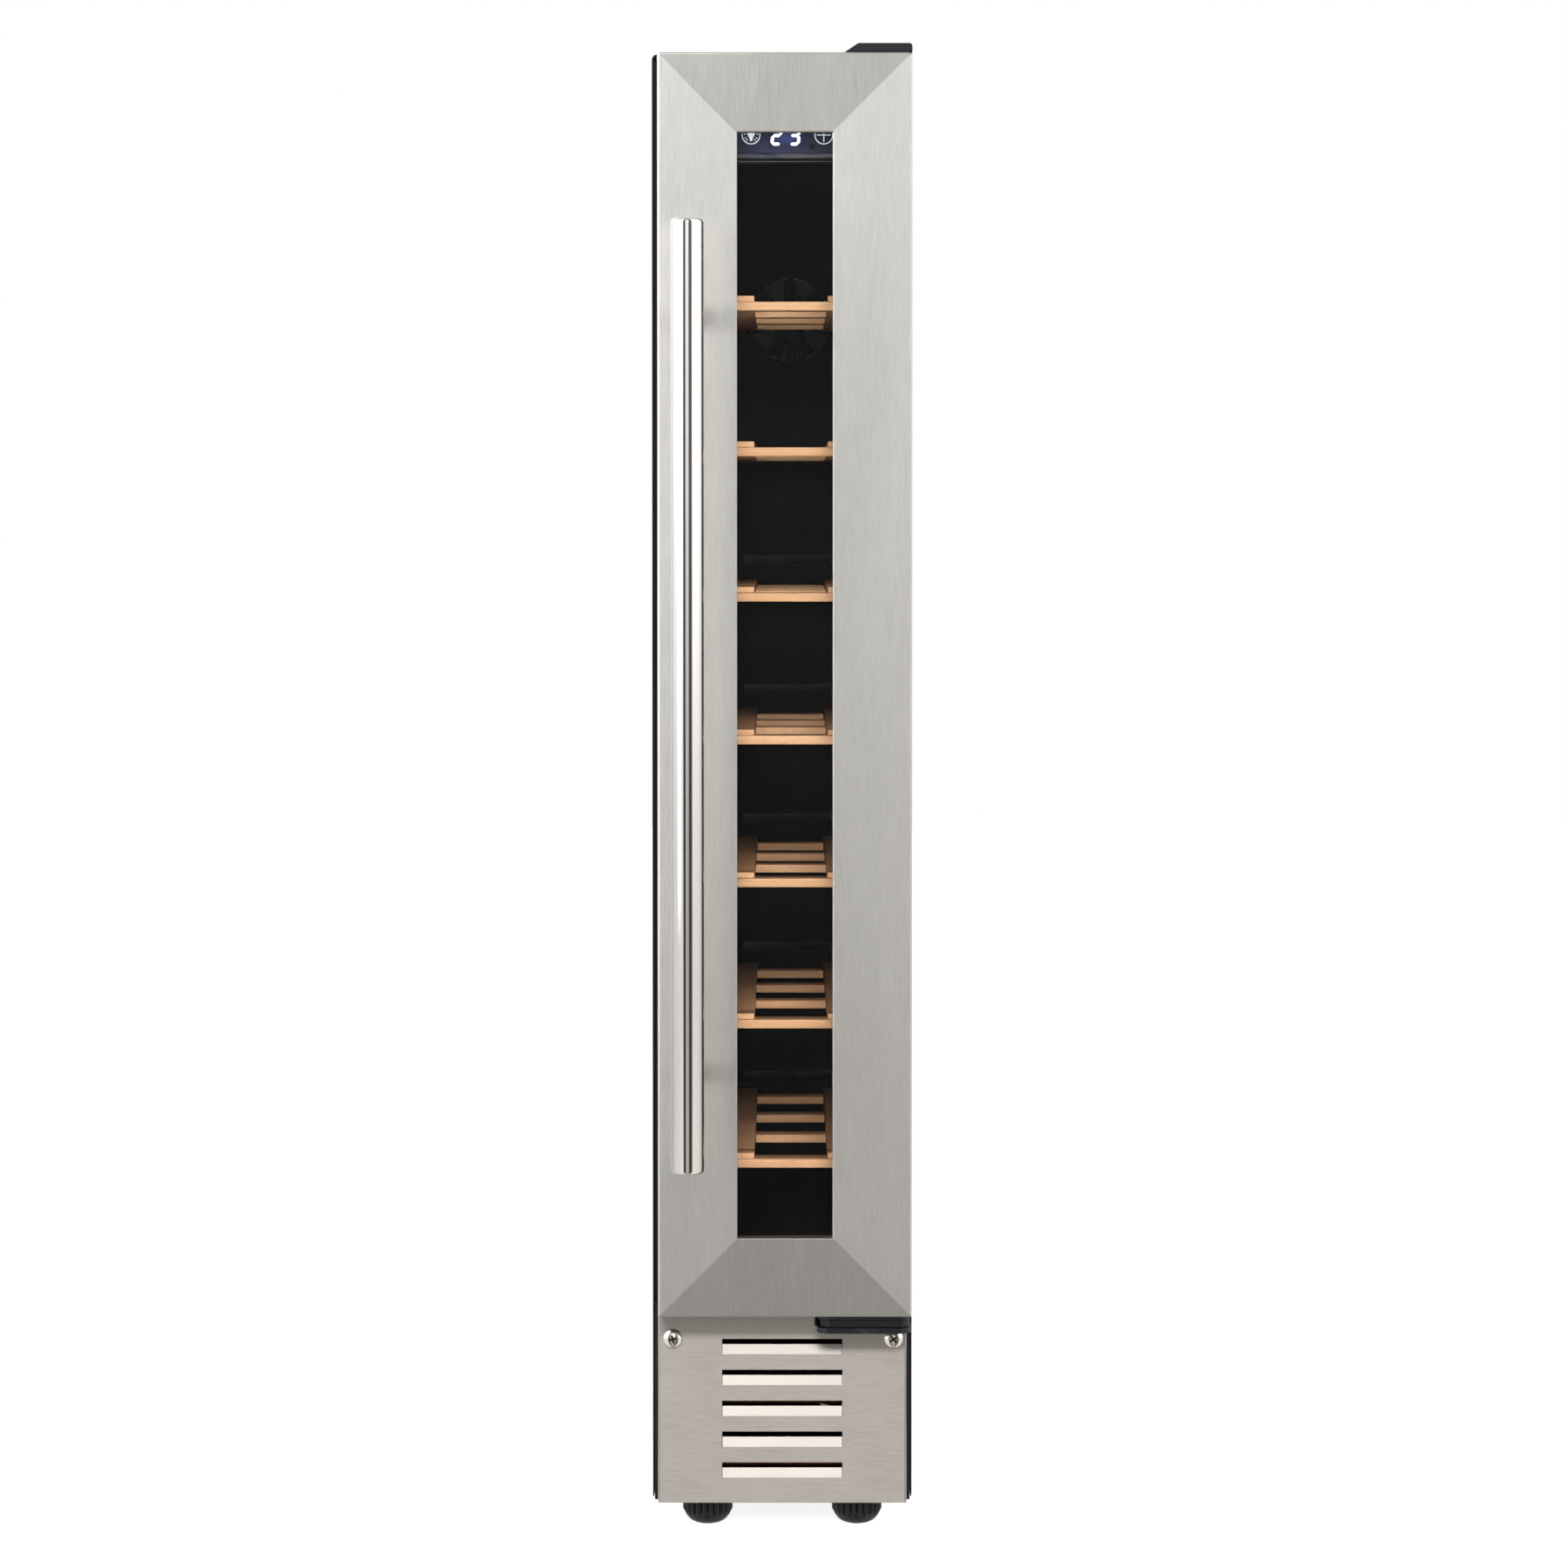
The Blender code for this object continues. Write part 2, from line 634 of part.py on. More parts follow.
# Evaporator: a bonded plate with raised channels
evaporator = box("evaporator", (CAVITY_LEFT + 0.006, back(0.4130), 0.190),
                 (CAVITY_RIGHT - 0.006, back(0.4145), 0.770), aluminium)
channels = []
for channel_index in range(9):
    channel_z = 0.215 + channel_index * 0.066
    channels.append(((CAVITY_LEFT + 0.012, back(0.4110), channel_z),
                     (CAVITY_RIGHT - 0.012, back(0.4135), channel_z + 0.006)))
join(evaporator, boxes("evaporator_channels", channels))

# ---- Machine compartment


def compressor():
    """Hermetic can in two pressed halves, on a base plate."""
    radius = 0.048
    low = 0.0245
    seam = 0.070
    top = 0.1155
    upper = [(0, top)] + [(radius * math.sin(a), seam + 0.004 + (top - seam - 0.004) * math.cos(a))
                          for a in (math.radians(d) for d in (18, 36, 54, 72, 90))]
    flange = [(radius + 0.0025, seam + 0.0035), (radius + 0.0025, seam), (radius, seam - 0.0005)]
    lower = [(radius * math.sin(a), seam - 0.001 - (seam - 0.001 - low) * math.cos(a))
             for a in (math.radians(d) for d in (80, 62, 44, 30))]
    profile = upper + flange + lower + [(0.022, low), (0, low)]
    made = turned("compressor", profile, (0, back(COMPRESSOR_Y), 0), compressor_paint, 28)
    foot_plate = box("compressor_feet", (-0.058, back(COMPRESSOR_Y - 0.045), low - 0.0012),
                     (0.058, back(COMPRESSOR_Y + 0.045), low + 0.0012), None, cutters)
    return join(made, foot_plate)


compressor()
grommet_places = [(x, y) for y in (-0.037, 0.037) for x in (-0.050, 0.050)]
for grommet_index, (grommet_x, grommet_y) in enumerate(grommet_places):
    place_y = back(COMPRESSOR_Y + grommet_y)
    rod(f"compressor_grommet_{grommet_index + 1}", (grommet_x, place_y, PAN_LEVEL + PAN_SHEET + GAP),
        (grommet_x, place_y, 0.0230), 0.006, rubber, None, 16)

drip_tray = box("drip_tray", (-0.050, back(COMPRESSOR_Y - 0.045), 0.1180),
                (0.050, back(COMPRESSOR_Y + 0.045), 0.1290), grey_abs)
cut(drip_tray, box("tray_hollow", (-0.0485, back(COMPRESSOR_Y - 0.0435), 0.1195),
                   (0.0485, back(COMPRESSOR_Y + 0.0435), 0.1400), None, cutters))


def condenser_coil():
    """Serpentine tube, seven passes stacked one above the other."""
    passes = 7
    pitch = 0.0125
    low = 0.026
    reach = 0.052
    points = []
    for i in range(passes):
        z = low + i * pitch
        side = 1 if i % 2 == 0 else -1
        points += [(-side * reach, z), (side * reach, z)]
        if i < passes - 1:
            bend = arc((side * reach, z + pitch / 2), pitch / 2, -90, 90, 5)[1:-1]
            points += [(side * reach + side * abs(px - side * reach), pz) for px, pz in bend]
    return tube("condenser_coil", [(x, back(CONDENSER_Y), z) for x, z in points], 0.0025, copper)


condenser_coil()
CONDENSER_FAN_Z = 0.062
fan_frame("condenser_fan_frame", (0, back(CONDENSER_FAN_Y), CONDENSER_FAN_Z), 0.080, 0.025, black_abs)
fan_rotor("condenser_fan_rotor", (0, back(CONDENSER_FAN_Y + 0.0085), CONDENSER_FAN_Z), 0.0365, 0.015,
          0.010, 0.0115)

dryer_profile = [(0, 0.098), (0.003, 0.098), (0.003, 0.088), (0.0085, 0.080), (0.0085, 0.034),
                 (0.003, 0.026), (0.003, 0.017), (0, 0.017)]
turned("filter_dryer", dryer_profile, (-0.050, back(DRYER_Y), 0), copper, 16)

rounded(box("power_board_box", (-0.050, back(BOARD_Y), PAN_LEVEL + PAN_SHEET + GAP),
            (0.020, back(BOARD_Y + 0.055), 0.105), black_abs), 0.002)

# ---- Kick plate


def kick_plate():
    """Stainless front grille: folded sides, five louvres, two screw holes, a corner cut for the hinge."""
    half = KICK_WIDTH / 2
    half_slot = SLOT_WIDTH / 2
    side_clear = 0.0002
    lean = Matrix.Rotation(math.radians(-TAB_LEAN), 4, "X")
    fold = [(-half, back(0.0002)), (-half, KICK_FACE), (half, KICK_FACE), (half, back(0.0002))]
    made = folded_sheet("kick_plate", [(x, y, KICK_BOTTOM) for x, y in fold],
                        [(x, y, KICK_TOP) for x, y in fold], SKIN, (0, -1, 0), steel, 0.0012)
    slots = []
    louvres = bmesh.new()
    for i in range(SLOT_COUNT):
        top = TOP_SLOT - i * SLOT_PITCH
        bottom = top - SLOT_HEIGHT
        slots.append(((-half_slot, KICK_FACE - 0.01, bottom), (half_slot, KICK_FACE + 0.01, top)))
        tab = cube_into(louvres, (-half_slot + side_clear, -SKIN / 2, 0),
                        (half_slot - side_clear, SKIN / 2, TAB_LENGTH))["verts"]
        place = Matrix.Translation((0, KICK_FACE + 0.0005, bottom - 0.0006))
        bmesh.ops.transform(louvres, matrix=place @ lean, verts=tab)
    notch = box("hinge_notch", (0.0185, KICK_FACE - 0.01, 0.1136),
                (half + 0.01, KICK_FACE + 0.03, KICK_TOP + 0.01), None, cutters)
    cut(made, boxes("kick_slots", slots), notch)
    join(made, add("louvre_tabs", mesh_of("louvre_tabs", louvres), None, (0, 0, 0), cutters))
    for i, x in enumerate(KICK_SCREWS):
        cut(made, hole(f"kick_hole_{i}", (x, KICK_FACE - 0.01, KICK_SCREW_Z),
                       (x, KICK_FACE + 0.01, KICK_SCREW_Z), SCREW_HOLE, 12))
    return made


kick_plate()


def pan_screw(name, x):
    """Domed screw whose shank runs back through the plate into the upright."""
    dome = [(0.0055 * math.sin(a), 0.0026 * math.cos(a)) for a in (math.radians(d) for d in (30, 60, 90))]
    profile = [(0, 0.0026)] + dome + [(0.0055, -0.0003), (0.0019, -0.0003), (0.0019, -0.010), (0, -0.010)]
    made = turned(name, profile, (x, KICK_FACE - 0.0006, KICK_SCREW_Z), screw_steel, 20)
    made.rotation_euler = (math.pi / 2, 0, 0)
    return made


pan_screw("kick_screw_left", KICK_SCREWS[0])
pan_screw("kick_screw_right", KICK_SCREWS[1])

# ---- Door hinges

BRACKET_LEFT = 0.0196
BRACKET_RIGHT = 0.0726
BRACKET_TOP = 0.1173
BRACKET_PLATE = 0.0031


def bracket_outline(left, right, front, rear, radius):
    """Seen from above: straight rear, rounded front corners."""
    return ([(left, rear)] + arc((left + radius, front + radius), radius, 180, 270, 5)
            + arc((right - radius, front + radius), radius, 270, 360, 5) + [(right, rear)])


def bottom_hinge_bracket():
    """Steel bracket under the door: a flat leaf, an upturned rear leaf and the riveted pin."""
    outline = bracket_outline(BRACKET_LEFT, BRACKET_RIGHT, DOOR_FRONT + 0.006, back(-GAP), 0.008)
    made = plate("bottom_hinge_bracket", outline, (0, 0, BRACKET_TOP - BRACKET_PLATE / 2), BRACKET_PLATE,
                 black_steel)
    join(made, box("bracket_rear_leaf", (BRACKET_LEFT + 0.0002, back(-GAP - 0.0025), BRACKET_TOP - 0.002),
                   (BRACKET_RIGHT - 0.0002, back(-GAP - 0.0001), 0.1238), None, cutters))
    join(made, hole("bottom_pin", (HINGE_X, HINGE_Y, BRACKET_TOP - 0.002), (HINGE_X, HINGE_Y, 0.132),
                    PIN_RADIUS))
    return made


bottom_hinge_bracket()

hinge_washer = plate("hinge_washer", bracket_outline(BRACKET_LEFT + 0.002, BRACKET_RIGHT - 0.0006,
                                                      DOOR_FRONT + 0.008, DOOR_FRONT + 0.034, 0.007),
                     (0, 0, 0.11945), 0.0037, black_abs)
cut(hinge_washer, hole("washer_bore", (HINGE_X, HINGE_Y, 0.11), (HINGE_X, HINGE_Y, 0.13),
                       PIN_RADIUS + GAP))

door_hinge_plate = plate("door_hinge_plate", bracket_outline(BRACKET_LEFT + 0.001, BRACKET_RIGHT - 0.0004,
                                                             DOOR_FRONT + 0.0065, DOOR_FRONT + 0.036, 0.007),
                         (0, 0, 0.1229), 0.0026, black_steel)
cut(door_hinge_plate, hole("door_plate_bore", (HINGE_X, HINGE_Y, 0.11), (HINGE_X, HINGE_Y, 0.13),
                           PIN_RADIUS + GAP))

top_hinge_plate = box("top_hinge_plate", (0.0450, HINGE_Y - 0.008, CABINET_TOP + GAP),
                      (0.0718, back(0.040), CABINET_TOP + 0.0018), black_steel)
join(top_hinge_plate, hole("top_pin", (HINGE_X, HINGE_Y, DOOR_TOP - 0.010),
                           (HINGE_X, HINGE_Y, CABINET_TOP + 0.0014), PIN_RADIUS))


def top_hinge_cover():
    """Black cap over the top hinge: sloping left side, hollow underneath, its rear lies on the cabinet."""
    low = DOOR_TOP + GAP
    outline = [(0.0348, low), (0.0426, COVER_TOP), (0.0718, COVER_TOP), (0.0729, COVER_TOP - 0.0012),
               (0.0729, low)]
    front = DOOR_FRONT + 0.004
    rear = back(0.048)
    made = plate("top_hinge_cover", outline, (0, (front + rear) / 2, 0), rear - front, black_abs, None, True)
    cut(made, box("cover_hollow", (0.0440, front + 0.0015, low - 0.01),
                  (0.0722, rear - 0.0015, CABINET_TOP + 0.0021), None, cutters))
    cut(made, box("cover_step", (0.0, back(-0.0005), low - 0.02), (0.2, rear + 0.01, CABINET_TOP + GAP),
                  None, cutters))
    return made


top_hinge_cover()

# ---- Door


def bezel_piece(name, outer, inner, is_rail):
    """One mitred side of the stainless bezel, folded back at the door's edge and at the window.

    outer and inner are the ends of its two long edges, in X and Z. A rail's fold stops short of the
    stiles' folds, which run the full height.
    """
    start = Vector((outer[0][0], DOOR_FRONT, outer[0][1]))
    end = Vector((outer[1][0], DOOR_FRONT, outer[1][1]))
    along = (end - start).normalized()
    clear = SKIN + GAP if is_rail else 0.0
    mitre = GAP / 2 * math.sqrt(2)
    ends = []
    for i, way in ((0, 1), (1, -1)):
        edge = Vector((outer[i][0], DOOR_FRONT, outer[i][1])) + along * way * mitre
        window = Vector((inner[i][0], DOOR_FRONT, inner[i][1])) + along * way * mitre
        mitre_line = window - edge
        knee = edge + mitre_line * max(clear, 0.0015) / BEZEL_WIDTH
        fold = edge + along * way * clear
        ends.append([fold + Vector((0, SKIN_RETURN, 0)), fold, knee, window,
                     window + Vector((0, WINDOW_RETURN, 0))])
    return folded_sheet(name, ends[0], ends[1], SKIN, (0, -1, 0), steel, 0.0010)


corners = {}
for up, door_z, window_z in (("bottom", DOOR_BOTTOM, WINDOW_BOTTOM), ("top", DOOR_TOP, WINDOW_TOP)):
    for side, door_x, window_x in (("left", DOOR_LEFT, WINDOW_LEFT), ("right", DOOR_RIGHT, WINDOW_RIGHT)):
        corners[up, side] = ((door_x, door_z), (window_x, window_z))

for side in ("left", "right"):
    low, high = corners["bottom", side], corners["top", side]
    bezel_piece(f"door_stile_{side}", (low[0], high[0]), (low[1], high[1]), False)
for up, pin_z in (("bottom", DOOR_BOTTOM), ("top", DOOR_TOP)):
    low, high = corners[up, "left"], corners[up, "right"]
    rail = bezel_piece(f"door_rail_{up}", (low[0], high[0]), (low[1], high[1]), True)
    cut(rail, hole(f"rail_{up}_pin_hole", (HINGE_X, HINGE_Y, pin_z - 0.004),
                   (HINGE_X, HINGE_Y, pin_z + 0.004), 0.0047))

frame_inset = SKIN + GAP
UNIT_FRONT = DOOR_FRONT + WINDOW_RETURN + GAP
UNIT_DEPTH = 2 * GLASS + SPACER_DEPTH + 4 * GAP
BUSH_RADIUS = 0.0044
BUSH_LENGTH = 0.008


def around_window(margin, front, rear):
    """Corners of a box that follows the window, wider by a margin on each side."""
    return ((WINDOW_LEFT - margin, front, WINDOW_BOTTOM - margin),
            (WINDOW_RIGHT + margin, rear, WINDOW_TOP + margin))


def door_inner_frame():
    """Black core behind the bezel. The glazing unit goes in from behind, against the front lip."""
    front = DOOR_FRONT + frame_inset
    made = box("door_inner_frame", (DOOR_LEFT + frame_inset, front, DOOR_BOTTOM + frame_inset),
               (DOOR_RIGHT - frame_inset, DOOR_BACK, DOOR_TOP - frame_inset), black_abs)
    cut(made,
        box("window_through", *around_window(-0.0002, DOOR_FRONT - 0.01, DOOR_BACK + 0.01), None, cutters),
        box("lip_clearance", *around_window(frame_inset, DOOR_FRONT - 0.01, UNIT_FRONT), None, cutters),
        box("glazing_pocket", *around_window(GLASS_OVERLAP + GAP, UNIT_FRONT - GAP, DOOR_BACK + 0.01), None,
            cutters),
        hole("frame_bottom_bore", (HINGE_X, HINGE_Y, DOOR_BOTTOM - 0.01), (HINGE_X, HINGE_Y, 0.1335),
             PIN_RADIUS + GAP),
        hole("frame_top_bore", (HINGE_X, HINGE_Y, DOOR_TOP - BUSH_LENGTH - 0.003),
             (HINGE_X, HINGE_Y, DOOR_TOP + 0.01), BUSH_RADIUS + GAP))
    return made


door_inner_frame()

hinge_bush = rod("hinge_bush", (HINGE_X, HINGE_Y, DOOR_TOP - BUSH_LENGTH), (HINGE_X, HINGE_Y, DOOR_TOP),
                 BUSH_RADIUS, grey_abs)
cut(hinge_bush, hole("bush_bore", (HINGE_X, HINGE_Y, DOOR_TOP - 0.02), (HINGE_X, HINGE_Y, DOOR_TOP + 0.01),
                     PIN_RADIUS + GAP))

pane_front = UNIT_FRONT + GAP
box("outer_glass", *around_window(GLASS_OVERLAP, pane_front, pane_front + GLASS), glass)
spacer_front = pane_front + GLASS + GAP
glass_spacer = box("glass_spacer", *around_window(GLASS_OVERLAP, spacer_front, spacer_front + SPACER_DEPTH),
                   aluminium)
cut(glass_spacer, box("spacer_opening", *around_window(0.001, spacer_front - 0.01, spacer_front + 0.03), None,
                      cutters))
inner_front = spacer_front + SPACER_DEPTH + GAP
box("inner_glass", *around_window(GLASS_OVERLAP, inner_front, inner_front + GLASS), glass)

# Magnetic gasket between the door and the liner's flange, kept inside the hinge axis
GASKET_LEFT = DOOR_LEFT + DOOR_RIGHT - HINGE_X
door_gasket = box("door_gasket", (GASKET_LEFT, DOOR_BACK + GAP, DOOR_BOTTOM + 0.0085),
                  (HINGE_X, CABINET_FRONT - GAP, DOOR_TOP - 0.0085), rubber)
cut(door_gasket, box("gasket_opening",
                     (GASKET_LEFT + GASKET_WIDTH, DOOR_BACK - 0.01, DOOR_BOTTOM + 0.0085 + GASKET_WIDTH),
                     (HINGE_X - GASKET_WIDTH, CABINET_FRONT + 0.01, DOOR_TOP - 0.0085 - GASKET_WIDTH), None,
                     cutters))

# ---- Handle

bar_top = BAR_BOTTOM + BAR_LENGTH
handle_bar = rod("handle_bar", (BAR_X, BAR_Y, BAR_BOTTOM), (BAR_X, BAR_Y, bar_top), BAR_RADIUS, steel, None,
                 32)
rounded(handle_bar, 0.0022, 3)

post_heights = {"handle_post_lower": BAR_BOTTOM + POST_INSET, "handle_post_upper": bar_top - POST_INSET}
for post_name, post_z in post_heights.items():
    post = rod(post_name, (BAR_X, BAR_Y + 0.003, post_z), (BAR_X, DOOR_FRONT - GAP, post_z), POST_RADIUS,
               steel)
    cut(post, hole(f"{post_name}_saddle", (BAR_X, BAR_Y, post_z - 0.02), (BAR_X, BAR_Y, post_z + 0.02),
                   BAR_RADIUS + GAP, 32))

# ---- Feet screwed out

for made in list(parts.objects) + list(cutters.objects):
    if made.name not in foot_names:
        made.location.z += FOOT_LIFT
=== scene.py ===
# Slim stainless wine cooler: the looks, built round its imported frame
import math
import bpy
import bmesh
from mathutils import Matrix, Vector


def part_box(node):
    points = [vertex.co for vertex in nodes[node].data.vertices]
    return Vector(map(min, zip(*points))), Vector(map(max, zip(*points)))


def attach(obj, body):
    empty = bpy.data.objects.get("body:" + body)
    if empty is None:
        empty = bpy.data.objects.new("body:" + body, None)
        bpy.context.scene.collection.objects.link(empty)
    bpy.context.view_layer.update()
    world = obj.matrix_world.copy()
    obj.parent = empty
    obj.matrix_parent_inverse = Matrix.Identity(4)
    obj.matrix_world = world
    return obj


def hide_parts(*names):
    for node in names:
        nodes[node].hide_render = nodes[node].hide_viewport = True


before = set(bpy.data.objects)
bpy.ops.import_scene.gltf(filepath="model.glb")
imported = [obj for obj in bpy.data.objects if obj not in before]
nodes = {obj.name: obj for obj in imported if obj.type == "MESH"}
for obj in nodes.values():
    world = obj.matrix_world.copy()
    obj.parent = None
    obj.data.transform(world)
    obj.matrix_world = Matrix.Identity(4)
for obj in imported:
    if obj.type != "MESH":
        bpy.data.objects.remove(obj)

mm = 0.001
scene = bpy.context.scene
scene.view_settings.view_transform = "Standard"
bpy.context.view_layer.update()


def corners(node):
    low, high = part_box(node)
    return Vector(low), Vector(high)


# ---- camera

shot = {"distance": 3.195, "side": 0.001, "eye": 0.580, "lens": 128.92, "tilt": math.radians(-2.126), "shift": -0.04}
cabinetFace = corners("side_panel_left")[0].y
lens = bpy.data.cameras.new("camera")
lens.sensor_width = 36
lens.lens = shot["lens"]
lens.shift_y = shot["shift"]
lens.clip_end = 60
camera = bpy.data.objects.new("camera", lens)
camera.location = (shot["side"], cabinetFace - shot["distance"], shot["eye"])
camera.rotation_euler = (math.pi / 2 + shot["tilt"], 0, 0)
scene.collection.objects.link(camera)
scene.camera = camera
print("camera ready")

# ---- finishes


def linear(hexText):
    # sRGB hex to the linear colour that the shaders work in
    parts = [int(hexText[i:i + 2], 16) / 255 for i in (1, 3, 5)]
    return [p / 12.92 if p <= 0.04045 else ((p + 0.055) / 1.055) ** 2.4 for p in parts] + [1.0]


def addNode(tree, kind, settings=None, links=None):
    # settings fill the node's own properties or its sockets; links join a socket to (earlier node, output)
    node = tree.nodes.new(kind)
    for key, value in (settings or {}).items():
        if key == "stops":
            while len(node.color_ramp.elements) < len(value):
                node.color_ramp.elements.new(0.5)
            for stop, (spot, colour) in zip(node.color_ramp.elements, value):
                stop.position = spot
                stop.color = linear(colour) if isinstance(colour, str) else colour
        elif isinstance(key, str) and hasattr(node, key):
            setattr(node, key, value)
        else:
            node.inputs[key].default_value = value
    for socket, (source, output) in (links or {}).items():
        tree.links.new(source.outputs[output], node.inputs[socket])
    return node


def startFinish(name):
    finish = bpy.data.materials.new(name)
    finish.use_nodes = True
    finish.node_tree.nodes.clear()
    return finish, finish.node_tree


def makeFinish(name, look):
    # one fine pattern for grain, one broad one for handling and uneven sheen; both move colour and roughness
    finish, tree = startFinish(name)
    place = addNode(tree, "ShaderNodeTexCoord")
    fineScale = addNode(tree, "ShaderNodeMapping", {"Scale": [1 / (size * mm) for size in look["grainMm"]]},
                        {"Vector": (place, "Object")})
    broadScale = addNode(tree, "ShaderNodeMapping", {"Scale": [1 / (size * mm) for size in look["broadMm"]]},
                         {"Vector": (place, "Object")})
    if look.get("cells"):
        fine = addNode(tree, "ShaderNodeTexVoronoi", {"Scale": 1.0}, {"Vector": (fineScale, "Vector")})
        fineOut = (fine, "Color")
    else:
        fine = addNode(tree, "ShaderNodeTexNoise",
                       {"Scale": 1.0, "Detail": look.get("detail", 3.0), "Roughness": 0.6},
                       {"Vector": (fineScale, "Vector")})
        fineOut = (fine, "Fac")
    broad = addNode(tree, "ShaderNodeTexNoise", {"Scale": 1.0, "Detail": 2.0}, {"Vector": (broadScale, "Vector")})
    share = look.get("broadShare", 0.4)
    blend = addNode(tree, "ShaderNodeMix", {"data_type": "FLOAT", 0: share}, {2: fineOut, 3: (broad, "Fac")})
    tone = addNode(tree, "ShaderNodeValToRGB", {"stops": look["colours"]}, {"Fac": (blend, 0)})
    rough = addNode(tree, "ShaderNodeMapRange",
                    {"From Min": 0.3, "From Max": 0.7, "To Min": look["roughness"][0], "To Max": look["roughness"][1]},
                    {"Value": (blend, 0)})
    bump = addNode(tree, "ShaderNodeBump", {"Strength": look.get("bump", 0.3), "Distance": look["bumpMm"] * mm},
                   {"Height": fineOut})
    links = {"Base Color": (tone, "Color"), "Roughness": (rough, "Result"), "Normal": (bump, "Normal")}
    if "grainAxis" in look:
        tangent = addNode(tree, "ShaderNodeTangent", {"direction_type": "RADIAL", "axis": look["grainAxis"]})
        links["Tangent"] = (tangent, "Tangent")
    sockets = {"Metallic": look.get("metallic", 0.0), **look.get("sockets", {})}
    shader = addNode(tree, "ShaderNodeBsdfPrincipled", sockets, links)
    addNode(tree, "ShaderNodeOutputMaterial", {}, {"Surface": (shader, "BSDF")})
    return finish


# Brushed stainless sheet: grit lines run up the door, so lights smear sideways into a soft satin.
# The real lines are 0.1 mm apart; they are drawn about 0.5 mm wide so that they show.
doorSteel = {"colours": [(0.30, "#CAC8C2"), (0.70, "#D9D7D2")], "metallic": 1.0, "roughness": (0.34, 0.43),
             "grainMm": (0.5, 0.5, 11.0), "broadMm": (40, 40, 260), "broadShare": 0.25, "bumpMm": 0.012, "bump": 0.35,
             "grainAxis": "Z", "detail": 4.0, "sockets": {"Anisotropic": 0.82}}
brushedStileSteel = makeFinish("brushedStileSteel", doorSteel)

# The mitred rails use the stiles' steel painted a shade darker: painted shade for the dimmer light the rails catch
brushedRailSteelPaintedShade = makeFinish("brushedRailSteelPaintedShade", {**doorSteel, "colours": [(0.30, "#ACAAA5"), (0.70, "#BEBCB7")]})

# The kick plate's lines run across, so lights smear up and down; its colour is painted darker than the door's steel as
# painted shade for the shadow under the door
brushedKickSteelPaintedShade = makeFinish("brushedKickSteelPaintedShade", {
    **doorSteel, "colours": [(0.30, "#9F9992"), (0.70, "#B5AFA8")], "grainMm": (9.0, 0.45, 0.45),
    "broadMm": (60, 40, 30), "broadShare": 0.35, "grainAxis": "X"})

# Stainless tube, belt-polished along its length: crisp bands of light with faint lines
polishedTubeSteel = makeFinish("polishedTubeSteel", {
    **doorSteel, "colours": [(0.30, "#D2D0CE"), (0.70, "#E0DEDC")], "roughness": (0.08, 0.12),
    "grainMm": (0.35, 0.35, 16.0), "bumpMm": 0.003, "bump": 0.25, "sockets": {"Anisotropic": 0.3}})

# Nickel-plated screw steel: nearly a mirror, with fine tumbling marks
platedScrewSteel = makeFinish("platedScrewSteel", {
    "colours": [(0.30, "#D6CFC6"), (0.70, "#E8E4DE")], "metallic": 1.0, "roughness": (0.16, 0.28),
    "grainMm": (0.6, 0.6, 0.6), "broadMm": (4, 4, 4), "bumpMm": 0.01, "bump": 0.25})

# Painted shade in the bottom of a screw's recess: near-black metal where the cross falls into shadow
recessPaintedShade = makeFinish("recessPaintedShade", {
    "colours": [(0.30, "#0E0C0B"), (0.70, "#2A2522")], "metallic": 0.6, "roughness": (0.45, 0.60),
    "grainMm": (0.4, 0.4, 0.4), "broadMm": (3, 3, 3), "bumpMm": 0.02})

# Powder-coated steel: satin black with a low orange peel, 0.6 mm across
powderCoatedSteel = makeFinish("powderCoatedSteel", {
    "colours": [(0.30, "#08080A"), (0.70, "#101013")], "roughness": (0.36, 0.50), "grainMm": (0.8, 0.8, 0.8),
    "broadMm": (90, 90, 140), "bumpMm": 0.05, "bump": 0.35, "sockets": {"Specular IOR Level": 0.25}})

# Hinge steel in gloss stoved black: smoother than the cabinet, with grey scuffs running across
stovedHingeSteel = makeFinish("stovedHingeSteel", {
    "colours": [(0.30, "#07080A"), (0.60, "#0B0C10"), (0.68, "#30333C")], "roughness": (0.22, 0.40),
    "grainMm": (5.0, 1.1, 0.45), "broadMm": (14, 14, 8), "broadShare": 0.3, "bumpMm": 0.04, "bump": 0.4,
    "sockets": {"Specular IOR Level": 0.3}})

# Galvanised sheet: zinc spangle of flat grey cells, 5 mm across
galvanisedSheet = makeFinish("galvanisedSheet", {
    "colours": [(0.20, "#9C9FA1"), (0.80, "#AEB1B3")], "metallic": 0.85, "roughness": (0.40, 0.50), "cells": True,
    "grainMm": (5, 5, 5), "broadMm": (60, 60, 60), "bumpMm": 0.004, "bump": 0.15})

# Moulded ABS with a spark-eroded texture: even fine grain that takes the shine off
mouldedAbs = makeFinish("mouldedAbs", {
    "colours": [(0.30, "#060709"), (0.70, "#0B0C0F")], "roughness": (0.42, 0.55), "grainMm": (0.5, 0.5, 0.5),
    "broadMm": (70, 70, 70), "bumpMm": 0.03, "bump": 0.3, "sockets": {"Specular IOR Level": 0.28}})

# Vacuum-formed polystyrene liner: black, smooth and a little glossy, with slow waves from forming
formedLiner = makeFinish("formedLiner", {
    "colours": [(0.30, "#020204"), (0.70, "#050507")], "roughness": (0.36, 0.50), "grainMm": (1.2, 1.2, 1.2),
    "broadMm": (50, 80, 80), "bumpMm": 0.04, "bump": 0.25, "sockets": {"Specular IOR Level": 0.2}})

